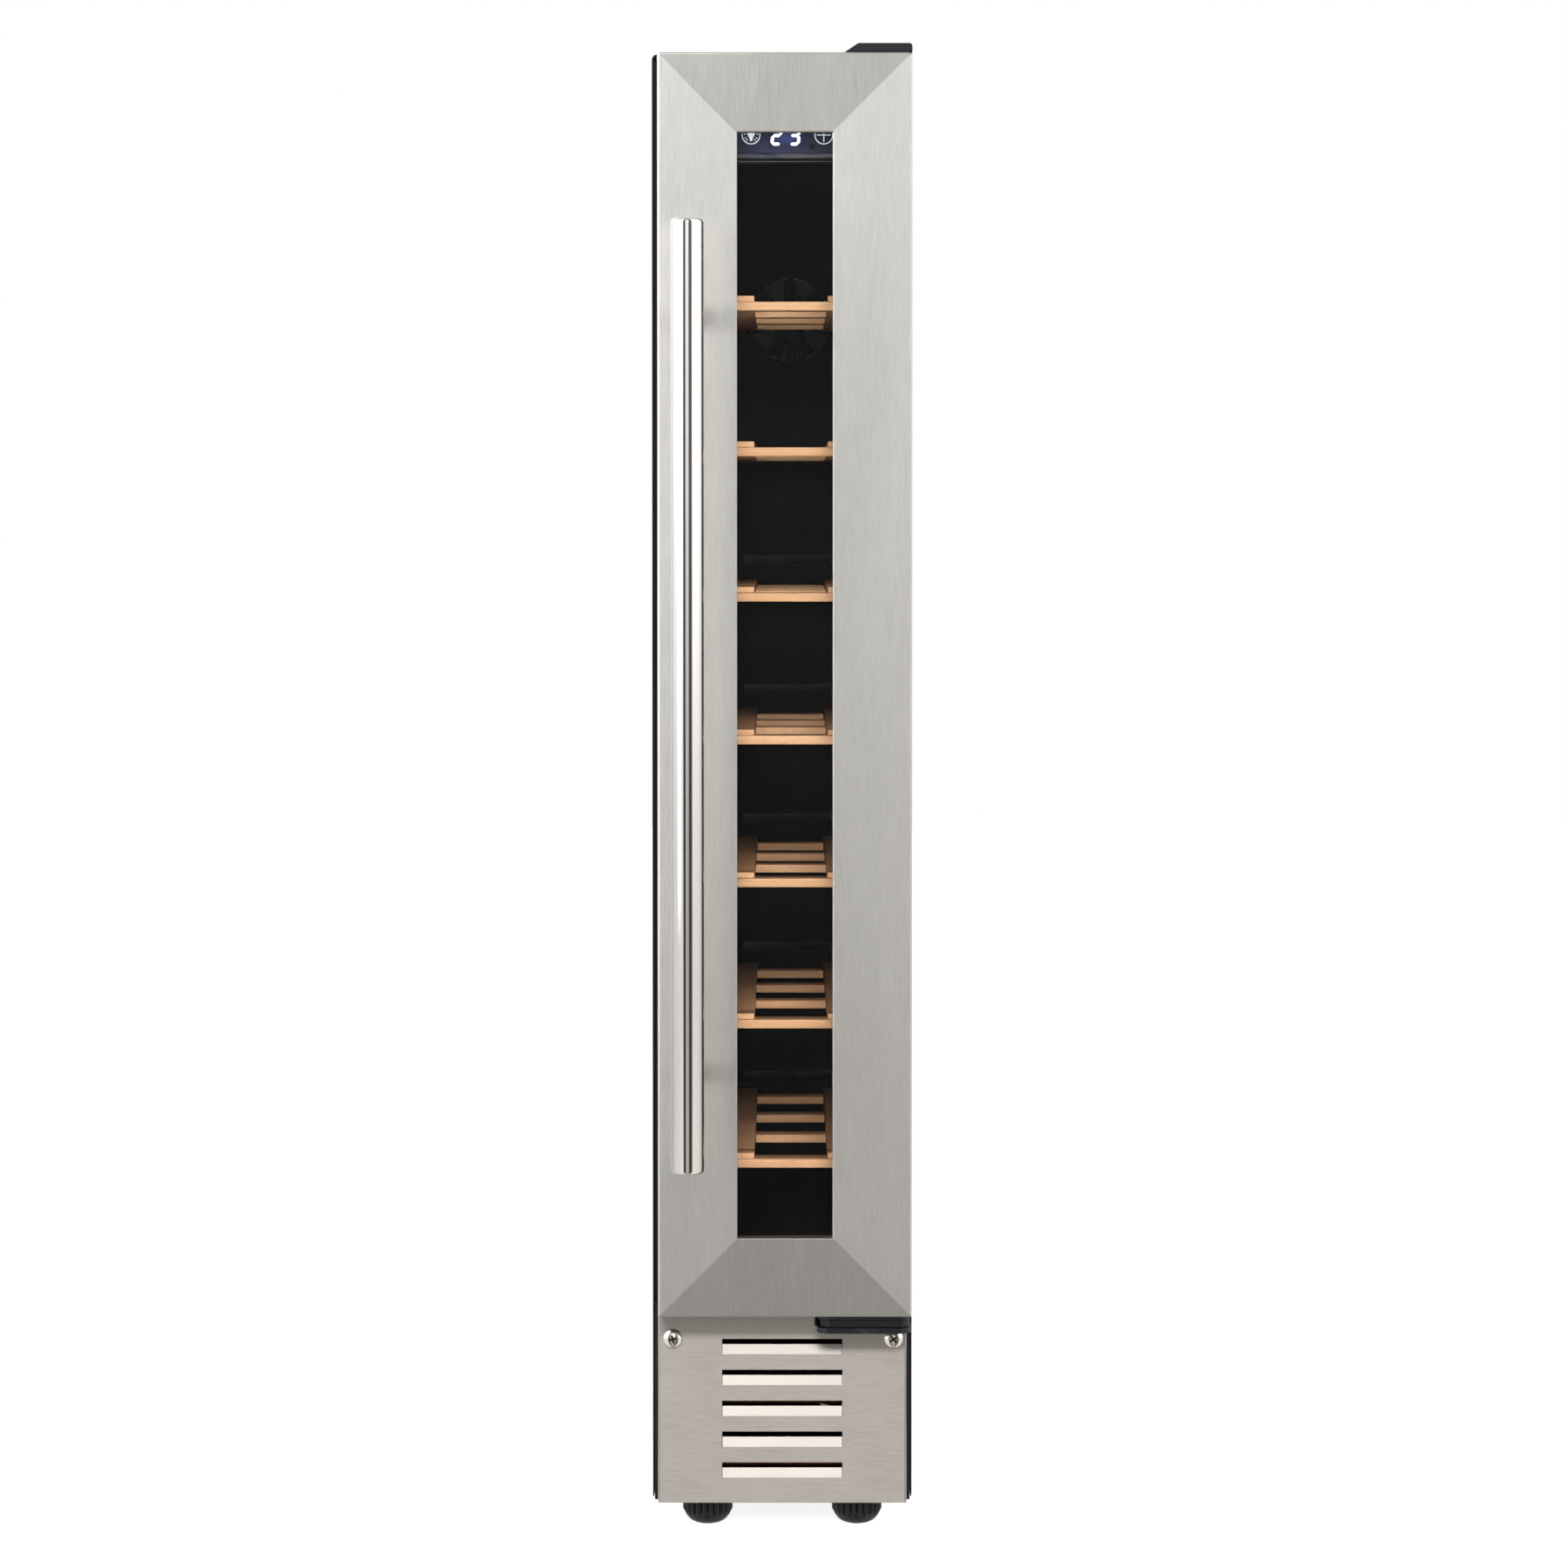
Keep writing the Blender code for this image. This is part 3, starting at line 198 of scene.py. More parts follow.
# Control housing: gloss ABS with a blue-grey cast, lightened to carry a painted highlight for the light along its lip
glossControlAbsAndPaintedHighlight = makeFinish("glossControlAbsAndPaintedHighlight", {
    "colours": [(0.30, "#343846"), (0.70, "#464C5E")], "roughness": (0.20, 0.36), "grainMm": (1.5, 0.8, 0.6),
    "broadMm": (12, 12, 3), "broadShare": 0.6, "bumpMm": 0.10, "bump": 0.5})

# Smoked acrylic lens: dark and polished, a thin haze of fingerprints
smokedAcrylic = makeFinish("smokedAcrylic", {
    "colours": [(0.30, "#222F36"), (0.52, "#2A2F46"), (0.70, "#353B5A")], "roughness": (0.06, 0.16),
    "grainMm": (2, 2, 2), "broadMm": (26, 26, 14), "broadShare": 0.8, "bumpMm": 0.004, "bump": 0.2,
    "sockets": {"IOR": 1.49}})

# Opal polycarbonate over the lamps: even milky white
opalDiffuser = makeFinish("opalDiffuser", {
    "colours": [(0.30, "#C9CED2"), (0.70, "#DADEE0")], "roughness": (0.40, 0.52), "grainMm": (0.6, 0.6, 0.6),
    "broadMm": (20, 20, 20), "bumpMm": 0.02, "sockets": {"Subsurface Weight": 0.3, "Subsurface Scale": 0.002}})

# Nitrile and EPDM rubber: dull black with a dusty bloom
mouldedRubber = makeFinish("mouldedRubber", {
    "colours": [(0.30, "#0C0C0D"), (0.70, "#18181A")], "roughness": (0.58, 0.74), "grainMm": (0.7, 0.7, 0.7),
    "broadMm": (18, 18, 18), "bumpMm": 0.04, "bump": 0.4})

# Injection-moulded nylon foot: black with a soft shine on its ribs
mouldedNylon = makeFinish("mouldedNylon", {
    "colours": [(0.30, "#070708"), (0.70, "#0C0C0E")], "roughness": (0.32, 0.46), "grainMm": (0.6, 0.6, 0.6),
    "broadMm": (8, 8, 8), "bumpMm": 0.03, "bump": 0.3, "sockets": {"Specular IOR Level": 0.28}})

# Rolled aluminium fin: bright, with lines along the strip
rolledAluminium = makeFinish("rolledAluminium", {
    "colours": [(0.30, "#B9BCBE"), (0.70, "#D5D8DA")], "metallic": 1.0, "roughness": (0.26, 0.40),
    "grainMm": (0.6, 0.6, 12), "broadMm": (30, 30, 60), "bumpMm": 0.01})

# Drawn copper tube: warm and dulled by handling, with browner patches
drawnCopper = makeFinish("drawnCopper", {
    "colours": [(0.30, "#8E5334"), (0.55, "#C07A50"), (0.70, "#D68F66")], "metallic": 1.0, "roughness": (0.22, 0.46),
    "grainMm": (5, 1.2, 1.2), "broadMm": (25, 25, 25), "bumpMm": 0.01})

# Compressor shell in dipped black enamel: thick, glossy, gently uneven
dippedEnamel = makeFinish("dippedEnamel", {
    "colours": [(0.30, "#0D0D0E"), (0.70, "#161617")], "roughness": (0.16, 0.30), "grainMm": (6, 6, 6),
    "broadMm": (40, 40, 40), "bumpMm": 0.12, "bump": 0.4, "sockets": {"Coat Weight": 0.4, "Coat Roughness": 0.1}})

# Moulded polypropylene tray: waxy mid grey
mouldedPolypropylene = makeFinish("mouldedPolypropylene", {
    "colours": [(0.30, "#6F7478"), (0.70, "#83888B")], "roughness": (0.42, 0.56), "grainMm": (0.8, 0.8, 0.8),
    "broadMm": (20, 20, 20), "bumpMm": 0.03})

# Polyurethane foam: cream cells about 1 mm across
blownFoam = makeFinish("blownFoam", {
    "colours": [(0.20, "#C9BD95"), (0.80, "#E4DAB4")], "roughness": (0.80, 0.95), "cells": True,
    "grainMm": (1.1, 1.1, 1.1), "broadMm": (40, 40, 40), "bumpMm": 0.25, "bump": 0.7})


def makeBeech(name, along, colours):
    # Sanded beech, oiled: pale pink-brown, slow grain along the board and short dark ray flecks
    finish, tree = startFinish(name)
    place = addNode(tree, "ShaderNodeTexCoord")
    sizes = {"grain": (60, 1.6), "fleck": (3.2, 0.45), "board": (240, 14)}  # mm along and across the board
    scales = {}
    for part, (length, width) in sizes.items():
        scale = [1 / (width * mm)] * 3
        scale["XYZ".index(along)] = 1 / (length * mm)
        scales[part] = addNode(tree, "ShaderNodeMapping", {"Scale": scale}, {"Vector": (place, "Object")})
    grain = addNode(tree, "ShaderNodeTexNoise", {"Scale": 1.0, "Detail": 5.0, "Distortion": 0.6},
                    {"Vector": (scales["grain"], "Vector")})
    board = addNode(tree, "ShaderNodeTexNoise", {"Scale": 1.0, "Detail": 1.0}, {"Vector": (scales["board"], "Vector")})
    fleck = addNode(tree, "ShaderNodeTexNoise", {"Scale": 1.0, "Detail": 1.0}, {"Vector": (scales["fleck"], "Vector")})
    blend = addNode(tree, "ShaderNodeMix", {"data_type": "FLOAT", 0: 0.45}, {2: (grain, "Fac"), 3: (board, "Fac")})
    tone = addNode(tree, "ShaderNodeValToRGB", {"stops": colours}, {"Fac": (blend, 0)})
    fleckMask = addNode(tree, "ShaderNodeMapRange", {"From Min": 0.60, "From Max": 0.70, "To Max": 0.30},
                        {"Value": (fleck, "Fac")})
    fleckTone = addNode(tree, "ShaderNodeMix", {"data_type": "RGBA", "blend_type": "MULTIPLY", 7: linear("#8A5A38")},
                        {0: (fleckMask, "Result"), 6: (tone, "Color")})
    rough = addNode(tree, "ShaderNodeMapRange", {"From Min": 0.3, "From Max": 0.7, "To Min": 0.46, "To Max": 0.62},
                    {"Value": (grain, "Fac")})
    bump = addNode(tree, "ShaderNodeBump", {"Strength": 0.3, "Distance": 0.05 * mm}, {"Height": (grain, "Fac")})
    shader = addNode(tree, "ShaderNodeBsdfPrincipled", {"IOR": 1.5},
                     {"Base Color": (fleckTone, 2), "Roughness": (rough, "Result"), "Normal": (bump, "Normal")})
    addNode(tree, "ShaderNodeOutputMaterial", {}, {"Surface": (shader, "BSDF")})
    return finish


beechColours = [(0.30, "#B98A64"), (0.50, "#C79C78"), (0.70, "#D0AC8A")]
beechAcross = makeBeech("oiledBeechAcross", "X", beechColours)
beechBoards = makeBeech("oiledBeechBoards", "Y", [(0.30, "#BC8A64"), (0.50, "#CC9E7A"), (0.70, "#D6AC8A")])


def makeGlass(name, tint, gloss):
    # Float glass: clear, a breath of tint, and a thin gloss that grows at a slant
    finish, tree = startFinish(name)
    place = addNode(tree, "ShaderNodeTexCoord")
    wave = addNode(tree, "ShaderNodeTexNoise", {"Scale": 9.0, "Detail": 1.0}, {"Vector": (place, "Object")})
    bump = addNode(tree, "ShaderNodeBump", {"Strength": 0.02, "Distance": 0.2 * mm}, {"Height": (wave, "Fac")})
    through = addNode(tree, "ShaderNodeBsdfTransparent", {"Color": linear(tint)})
    shine = addNode(tree, "ShaderNodeBsdfGlossy", {"Roughness": 0.03}, {"Normal": (bump, "Normal")})
    slant = addNode(tree, "ShaderNodeFresnel", {"IOR": 1.52})
    amount = addNode(tree, "ShaderNodeMath", {"operation": "MULTIPLY", 1: gloss}, {0: (slant, "Fac")})
    mix = addNode(tree, "ShaderNodeMixShader", {}, {0: (amount, "Value"), 1: (through, "BSDF"), 2: (shine, "BSDF")})
    addNode(tree, "ShaderNodeOutputMaterial", {}, {"Surface": (mix, "Shader")})
    return finish


toughenedGlass = makeGlass("toughenedGlass", "#FCFCFB", 0.10)
coatedGlass = makeGlass("coatedGlass", "#FBFBFA", 0.05)


def makeLamp(name, colour, strength):
    # Lit segment behind the lens: even light with a fine speckle between two cool whites
    finish, tree = startFinish(name)
    place = addNode(tree, "ShaderNodeTexCoord")
    speck = addNode(tree, "ShaderNodeTexNoise", {"Scale": 900.0, "Detail": 1.0}, {"Vector": (place, "Object")})
    tone = addNode(tree, "ShaderNodeValToRGB", {"stops": [(0.3, colour[0]), (0.7, colour[1])]}, {"Fac": (speck, "Fac")})
    shader = addNode(tree, "ShaderNodeBsdfPrincipled", {"Roughness": 0.3, "Emission Strength": strength},
                     {"Base Color": (tone, "Color"), "Emission Color": (tone, "Color")})
    addNode(tree, "ShaderNodeOutputMaterial", {}, {"Surface": (shader, "BSDF")})
    return finish


litSegment = makeLamp("litSegment", ("#E4EBFF", "#F8FAFF"), 1.5)
litSymbol = makeLamp("litSymbol", ("#C2CADC", "#D2D9E8"), 0.5)
print("finishes ready")

# ---- helpers for shapes


def makePiece(name, shape, finishes, body, stands=(), sharp=32, flat=False):
    bmesh.ops.recalc_face_normals(shape, faces=shape.faces[:])
    mesh = bpy.data.meshes.new(name)
    shape.to_mesh(mesh)
    shape.free()
    for finish in finishes:
        mesh.materials.append(finish)
    mesh.polygons.foreach_set("use_smooth", [True] * len(mesh.polygons))
    mesh.set_sharp_from_angle(angle=math.radians(sharp))
    piece = bpy.data.objects.new(name, mesh)
    scene.collection.objects.link(piece)
    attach(piece, body)
    if stands:
        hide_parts(*stands)
    if flat:  # broad faces keep their own direction, so that only the eased edges turn the light
        even = piece.modifiers.new("even", "WEIGHTED_NORMAL")
        even.keep_sharp = True
    return piece


def addLathe(shape, profile, place, sides=64, ripple=None):
    # profile is (radius, height) up the axis; ripple changes a radius by angle
    turned = bmesh.new()
    rings = []
    for radius, height in profile:
        if radius < 1e-6:
            rings.append([turned.verts.new((0, 0, height))])
            continue
        ring = []
        for i in range(sides):
            angle = 2 * math.pi * i / sides
            reach = ripple(radius, height, angle) if ripple else radius
            ring.append(turned.verts.new((reach * math.cos(angle), reach * math.sin(angle), height)))
        rings.append(ring)
    for lower, upper in zip(rings, rings[1:]):
        for i in range(sides):
            j = (i + 1) % sides
            corner = [lower[i % len(lower)], lower[j % len(lower)], upper[j % len(upper)], upper[i % len(upper)]]
            turned.faces.new(list(dict.fromkeys(corner)))
    bmesh.ops.transform(turned, matrix=place, verts=turned.verts[:])
    addShape(shape, turned)


def addShape(shape, other, finishIndex=0):
    for face in other.faces:
        face.material_index = finishIndex
    carrier = bpy.data.meshes.new("carrier")
    other.to_mesh(carrier)
    other.free()
    shape.from_mesh(carrier)
    bpy.data.meshes.remove(carrier)


def easeEdges(shape, width, steps=2, above=30, wanted=None):
    shape.normal_update()
    hard = [edge for edge in shape.edges
            if len(edge.link_faces) == 2 and edge.calc_face_angle(0) > math.radians(above)
            and (wanted is None or wanted(edge))]
    bmesh.ops.bevel(shape, geom=hard, offset=width, segments=steps, profile=0.5, affect="EDGES", clamp_overlap=True)


def addBlock(shape, low, high, ease, steps=2, finishIndex=0):
    block = bmesh.new()
    middle = [(a + b) / 2 for a, b in zip(low, high)]
    size = [b - a for a, b in zip(low, high)]
    bmesh.ops.create_cube(block, size=1, matrix=Matrix.Translation(middle) @ Matrix.Diagonal((*size, 1)))
    easeEdges(block, ease, steps)
    addShape(shape, block, finishIndex)


def addRaised(shape, outline, front, depth, finishIndex=0):
    # a flat figure in the XZ plane with a square edge
    figure = bmesh.new()
    near = [figure.verts.new((x, front, z)) for x, z in outline]
    far = [figure.verts.new((x, front + depth, z)) for x, z in outline]
    figure.faces.new(near)
    figure.faces.new(list(reversed(far)))
    for i in range(len(outline)):
        j = (i + 1) % len(outline)
        figure.faces.new((near[i], near[j], far[j], far[i]))
    addShape(shape, figure, finishIndex)


def addRing(shape, centre, outer, inner, front, depth, sides=64):
    ring = bmesh.new()
    loops = []
    for radius, y in ((outer, front), (inner, front), (inner, front + depth), (outer, front + depth)):
        loops.append([ring.verts.new((centre[0] + radius * math.cos(2 * math.pi * i / sides), y,
                                      centre[1] + radius * math.sin(2 * math.pi * i / sides)))
                      for i in range(sides)])
    for k in range(4):
        for i in range(sides):
            j = (i + 1) % sides
            ring.faces.new((loops[k][i], loops[k][j], loops[(k + 1) % 4][j], loops[(k + 1) % 4][i]))
    addShape(shape, ring)


def quarterTurn(radius, steps=5):
    # rounding from the outer wall up to a flat top, as (inward, upward)
    return [(radius * (1 - math.cos(math.pi / 2 * i / steps)), radius * math.sin(math.pi / 2 * i / steps))
            for i in range(steps + 1)]


def cleaned(node):
    # the CAD solid itself, rid of its triangles
    shape = bmesh.new()
    shape.from_mesh(nodes[node].data)
    bmesh.ops.remove_doubles(shape, verts=shape.verts[:], dist=2e-6)
    bmesh.ops.dissolve_limit(shape, angle_limit=math.radians(0.4), verts=shape.verts[:], edges=shape.edges[:])
    for face in shape.faces:
        face.material_index = 0
    return shape


def refine(node, ease, finish, body, steps=2, above=30, wanted=None):
    shape = cleaned(node)
    easeEdges(shape, ease, steps, above, wanted)
    return makePiece(node + "_eased", shape, [finish], body, [node], 32, True)


# ---- handle

handle = {"endRound": 2.3 * mm, "collarRadius": 8.2 * mm, "collarHeight": 1.6 * mm, "neck": 5.6 * mm}
barLow, barHigh = corners("handle_bar")
barX, barY = (barLow.x + barHigh.x) / 2, (barLow.y + barHigh.y) / 2
barRadius = (barHigh.x - barLow.x) / 2
doorFace = corners("door_stile_left")[0].y
topRound = quarterTurn(handle["endRound"])
profile = [(0, barLow.z)]
profile += [(barRadius - inward, barLow.z + handle["endRound"] - upward) for inward, upward in reversed(topRound)]
profile += [(barRadius - inward, barHigh.z - handle["endRound"] + upward) for inward, upward in topRound]
profile.append((0, barHigh.z))
shape = bmesh.new()
addLathe(shape, profile, Matrix.Translation((barX, barY, 0)), 128)
makePiece("handleBar", shape, [polishedTubeSteel], "door", ["handle_bar"])

for end in ("lower", "upper"):
    postLow, postHigh = corners("handle_post_" + end)
    postZ = (postLow.z + postHigh.z) / 2
    reach = doorFace - 0.3 * mm - (barY + barRadius * 0.90)
    neck, collar, rise = handle["neck"], handle["collarRadius"], handle["collarHeight"]
    profile = [(0, 0), (collar - 0.4 * mm, 0), (collar, 0.4 * mm), (collar, rise - 0.5 * mm), (collar - 0.5 * mm, rise)]
    profile += [(neck + 1.2 * mm - x, rise + z) for x, z in quarterTurn(1.2 * mm, 4)]
    profile += [(neck, reach - 1.0 * mm), (neck - 0.1 * mm, reach), (0, reach)]
    shape = bmesh.new()
    facing = Matrix.Translation((barX, doorFace - 0.3 * mm, postZ)) @ Matrix.Rotation(math.pi / 2, 4, "X")
    addLathe(shape, profile, facing, 48)
    makePiece("handlePost_" + end, shape, [polishedTubeSteel], "door", ["handle_post_" + end])
print("handle ready")

# ---- door

bezel = {"ease": 0.5 * mm, "mitreGap": 0.28 * mm}
for part, finish in (("door_stile_left", brushedStileSteel), ("door_stile_right", brushedStileSteel),
                     ("door_rail_top", brushedRailSteelPaintedShade), ("door_rail_bottom", brushedRailSteelPaintedShade)):
    # folded edges are eased to catch the light; the mitres stay sharp and are pushed shut
    shape = cleaned(part)
    shape.normal_update()
    mitres = [face for face in shape.faces if abs(face.normal.x) > 0.5 and abs(face.normal.z) > 0.5]
    for face in mitres:
        for vert in face.verts:
            vert.co += face.normal * bezel["mitreGap"] / 2
    atMitre = {edge for face in mitres for edge in face.edges}
    easeEdges(shape, bezel["ease"], 3, 30, lambda edge: edge not in atMitre)
    makePiece(part + "_eased", shape, [finish], "door", [part], 32, True)
refine("door_inner_frame", 0.4 * mm, mouldedAbs, "door")
refine("door_hinge_plate", 0.35 * mm, stovedHingeSteel, "door", 3)

gasket = {"width": 8.0 * mm}
sealLow, sealHigh = corners("door_gasket")
depth = sealHigh.y - sealLow.y
# across the strip from its outer edge, and how far it stands back from the door
section = [(0, 0), (0, 0.55), (0.10, 0.62), (0.06, 0.75), (0.14, 0.94), (0.30, 1.0), (0.70, 1.0), (0.86, 0.94),
           (0.94, 0.75), (0.90, 0.62), (1, 0.55), (1, 0)]
shape = bmesh.new()
loops = []
for across, rise in section:
    inset = across * gasket["width"]
    y = sealLow.y + rise * depth
    loops.append([shape.verts.new((x, y, z)) for x, z in (
        (sealLow.x + inset, sealLow.z + inset), (sealHigh.x - inset, sealLow.z + inset),
        (sealHigh.x - inset, sealHigh.z - inset), (sealLow.x + inset, sealHigh.z - inset))])
for k in range(len(loops)):
    for i in range(4):
        j = (i + 1) % 4
        following = loops[(k + 1) % len(loops)]
        shape.faces.new((loops[k][i], loops[k][j], following[j], following[i]))
makePiece("doorSeal", shape, [mouldedRubber], "door", ["door_gasket"], 50)
print("door ready")

# ---- hinges

refine("bottom_hinge_bracket", 0.5 * mm, stovedHingeSteel, "cabinet", 3)
refine("hinge_washer", 0.5 * mm, mouldedNylon, "cabinet", 3)
refine("top_hinge_plate", 0.3 * mm, stovedHingeSteel, "cabinet")
refine("top_hinge_cover", 0.5 * mm, mouldedAbs, "cabinet", 3)
print("hinges ready")

# ---- cabinet

outerFace = max(abs(corners("side_panel_left")[0].x), corners("side_panel_right")[1].x)
for part in ("side_panel_left", "side_panel_right"):
    refine(part, 0.7 * mm, powderCoatedSteel, "cabinet", 3, 50,
           lambda edge: all(abs(vert.co.x) > outerFace - 0.01 * mm for vert in edge.verts))
refine("top_panel", 0.3 * mm, powderCoatedSteel, "cabinet")
shape = cleaned("control_housing")
easeEdges(shape, 0.35 * mm, 3)
undersideTop = corners("control_housing")[0].z + 0.05 * mm
for face in shape.faces:  # only the front is glossy; faces that point down take the textured black as painted shade for the underside
    face.material_index = int(face.normal.z < -0.8 or face.calc_center_median().z < undersideTop)
makePiece("controlHousing", shape, [glossControlAbsAndPaintedHighlight, mouldedAbs], "cabinet", ["control_housing"], 32, True)
refine("control_lens", 0.4 * mm, smokedAcrylic, "cabinet", 3)
refine("kick_plate", 0.15 * mm, brushedKickSteelPaintedShade, "cabinet")

# bulb seal between the liner's flange and the top panel: a pressed pad with a round lip in front of it
seal = {"inset": 1.0 * mm, "depth": 2.6 * mm, "lip": 1.3 * mm}
flangeLow, flangeHigh = corners("inner_liner")
under = corners("top_panel")[1].z - 0.9 * mm
shape = bmesh.new()
addBlock(shape, (flangeLow.x + seal["inset"], flangeLow.y + seal["lip"], flangeHigh.z + 0.1 * mm),
         (flangeHigh.x - seal["inset"], flangeLow.y + seal["lip"] + seal["depth"], under), 0.4 * mm)
lipRadius = (under - flangeHigh.z - 0.2 * mm) / 2
lipLength = corners("side_panel_right")[0].x - corners("side_panel_left")[1].x - 2 * seal["inset"]
lipAt = (-lipLength / 2, flangeLow.y + seal["lip"] + 0.4 * mm, (under + flangeHigh.z) / 2)
addLathe(shape, [(0, 0), (lipRadius - 0.3 * mm, 0), (lipRadius, 0.3 * mm), (lipRadius, lipLength - 0.3 * mm),
                 (lipRadius - 0.3 * mm, lipLength), (0, lipLength)],
         Matrix.Translation(lipAt) @ Matrix.Rotation(math.pi / 2, 4, "Y"), 20)
makePiece("topBulbSeal", shape, [mouldedRubber], "cabinet", (), 40)

# washer-faced screws that hold the rear grille
grilleScrew = {"radius": 3.4 * mm, "flange": 4.3 * mm, "rise": 1.9 * mm, "insetX": 7.5 * mm, "insetZ": 8.0 * mm}
grilleLow, grilleHigh = corners("rear_grille")
shape = bmesh.new()
for x in (grilleLow.x + grilleScrew["insetX"], grilleHigh.x - grilleScrew["insetX"]):
    for z in (grilleLow.z + grilleScrew["insetZ"], grilleHigh.z - grilleScrew["insetZ"]):
        rise, radius = grilleScrew["rise"], grilleScrew["radius"]
        profile = [(0, 0), (grilleScrew["flange"], 0), (grilleScrew["flange"], 0.5 * mm), (radius, 0.7 * mm),
                   (radius, rise - 0.3 * mm), (radius - 0.4 * mm, rise), (1.5 * mm, rise), (1.2 * mm, 0.7 * mm),
                   (0, 0.7 * mm)]
        addLathe(shape, profile, Matrix.Translation((x, grilleHigh.y, z)) @ Matrix.Rotation(-math.pi / 2, 4, "X"), 24)
makePiece("grilleScrews", shape, [platedScrewSteel], "cabinet", (), 30)
print("cabinet ready")

# ---- control symbols, lit behind the lens

lensLow = corners("control_lens")[0]
lensFace = lensLow.y
display = {"height": 11.4 * mm, "width": 6.3 * mm, "stroke": 1.7 * mm, "lean": math.radians(4),
           "foot": lensLow.z + 4.4 * mm, "firstX": -6.7 * mm, "secondX": 3.6 * mm, "proud": 0.12 * mm,
           "windowX": (-8.2 * mm, 12.4 * mm), "windowZ": (2.6 * mm, 18.5 * mm), "windowProud": 0.06 * mm}
segments = {"a": ((0, 1), (1, 1)), "b": ((1, 1), (1, 0.5)), "c": ((1, 0.5), (1, 0)), "d": ((0, 0), (1, 0)),
            "e": ((0, 0.5), (0, 0)), "f": ((0, 1), (0, 0.5)), "g": ((0, 0.5), (1, 0.5))}
digits = {"2": "abged", "3": "abgcd"}


def addDigit(shape, digit, left):
    half = display["stroke"] / 2
    for letter in digits[digit]:
        ends = []
        for x, z in segments[letter]:
            ends.append(Vector((half + x * (display["width"] - 2 * half), half + z * (display["height"] - 2 * half))))
        along = (ends[1] - ends[0]).normalized()
        side = Vector((-along.y, along.x)) * half
        start, stop = ends[0] + along * 0.12 * mm, ends[1] - along * 0.12 * mm
        six = [start, start + along * half + side, stop - along * half + side, stop,
               stop - along * half - side, start + along * half - side]
        outline = [(left + p.x + p.y * math.tan(display["lean"]), display["foot"] + p.y) for p in six]
        addRaised(shape, outline, lensFace - display["proud"], display["proud"])


# display window: lit from behind, brightest round the digits
windowFinish, tree = startFinish("displayWindow")
place = addNode(tree, "ShaderNodeTexCoord")
haloAt = (2.9 * mm, lensFace, display["foot"] + 4 * mm)
centred = addNode(tree, "ShaderNodeMapping",
                  {"vector_type": "TEXTURE", "Location": haloAt, "Scale": (15 * mm, 15 * mm, 9 * mm)},
                  {"Vector": (place, "Object")})
halo = addNode(tree, "ShaderNodeTexGradient", {"gradient_type": "SPHERICAL"}, {"Vector": (centred, "Vector")})
glow = addNode(tree, "ShaderNodeValToRGB", {"stops": [(0.0, "#0A0B12"), (0.5, "#1E2440"), (1.0, "#3A4680")]},
               {"Fac": (halo, "Fac")})
shader = addNode(tree, "ShaderNodeBsdfPrincipled",
                 {"Roughness": 0.12, "Emission Strength": 1.0, "Base Color": linear("#22263A")},
                 {"Emission Color": (glow, "Color")})
addNode(tree, "ShaderNodeOutputMaterial", {}, {"Surface": (shader, "BSDF")})
shape = bmesh.new()
(windowLeft, windowRight), (windowLow, windowHigh) = display["windowX"], display["windowZ"]
addBlock(shape, (windowLeft, lensFace - display["windowProud"], lensLow.z + windowLow),
         (windowRight, lensFace, lensLow.z + windowHigh), 0.02 * mm)
makePiece("displayWindow", shape, [windowFinish], "cabinet")

shape = bmesh.new()
addDigit(shape, "2", display["firstX"])
addDigit(shape, "3", display["secondX"])
makePiece("displayDigits", shape, [litSegment], "cabinet")

symbol = {"radius": 5.3 * mm, "stroke": 0.52 * mm, "centreZ": lensLow.z + 10.4 * mm,
          "lampX": -17.7 * mm, "plusX": 23.6 * mm}
front = lensFace - display["proud"]
shape = bmesh.new()
lampCentre = Vector((symbol["lampX"], symbol["centreZ"]))
addRing(shape, lampCentre, symbol["radius"], symbol["radius"] - symbol["stroke"], front, display["proud"])
bulb = [(2.15 * math.sin(math.radians(a)), 0.9 + 2.15 * math.cos(math.radians(a))) for a in range(-115, 116, 10)]
bulb += [(1.15, -1.5), (0.75, -2.4), (0.62, -3.1), (0.3, -3.5)]
bulb += [(-0.3, -3.5), (-0.62, -3.1), (-0.75, -2.4), (-1.15, -1.5)]
addRaised(shape, [(lampCentre.x + x * mm, lampCentre.y + z * mm) for x, z in bulb], front, display["proud"])
for angle in (-152, -128, -52, -28, 8, 172):
    ray = Vector((math.cos(math.radians(angle)), math.sin(math.radians(angle))))
    side = Vector((-ray.y, ray.x)) * 0.28 * mm
    near, far = lampCentre + ray * 3.1 * mm, lampCentre + ray * 3.95 * mm
    beam = [tuple(near + side), tuple(far + side), tuple(far - side), tuple(near - side)]
    addRaised(shape, beam, front, display["proud"])
makePiece("lampSymbol", shape, [litSymbol], "cabinet")

shape = bmesh.new()
plusCentre = Vector((symbol["plusX"], symbol["centreZ"]))
addRing(shape, plusCentre, symbol["radius"], symbol["radius"] - symbol["stroke"], front, display["proud"])
arm, thin = 3.9 * mm, 0.28 * mm
plus = [(-thin, arm), (thin, arm), (thin, thin), (arm, thin), (arm, -thin), (thin, -thin), (thin, -arm),
        (-thin, -arm), (-thin, -thin), (-arm, -thin), (-arm, thin), (-thin, thin)]
addRaised(shape, [(plusCentre.x + x, plusCentre.y + z) for x, z in plus], front, display["proud"])
makePiece("plusSymbol", shape, [litSymbol], "cabinet")

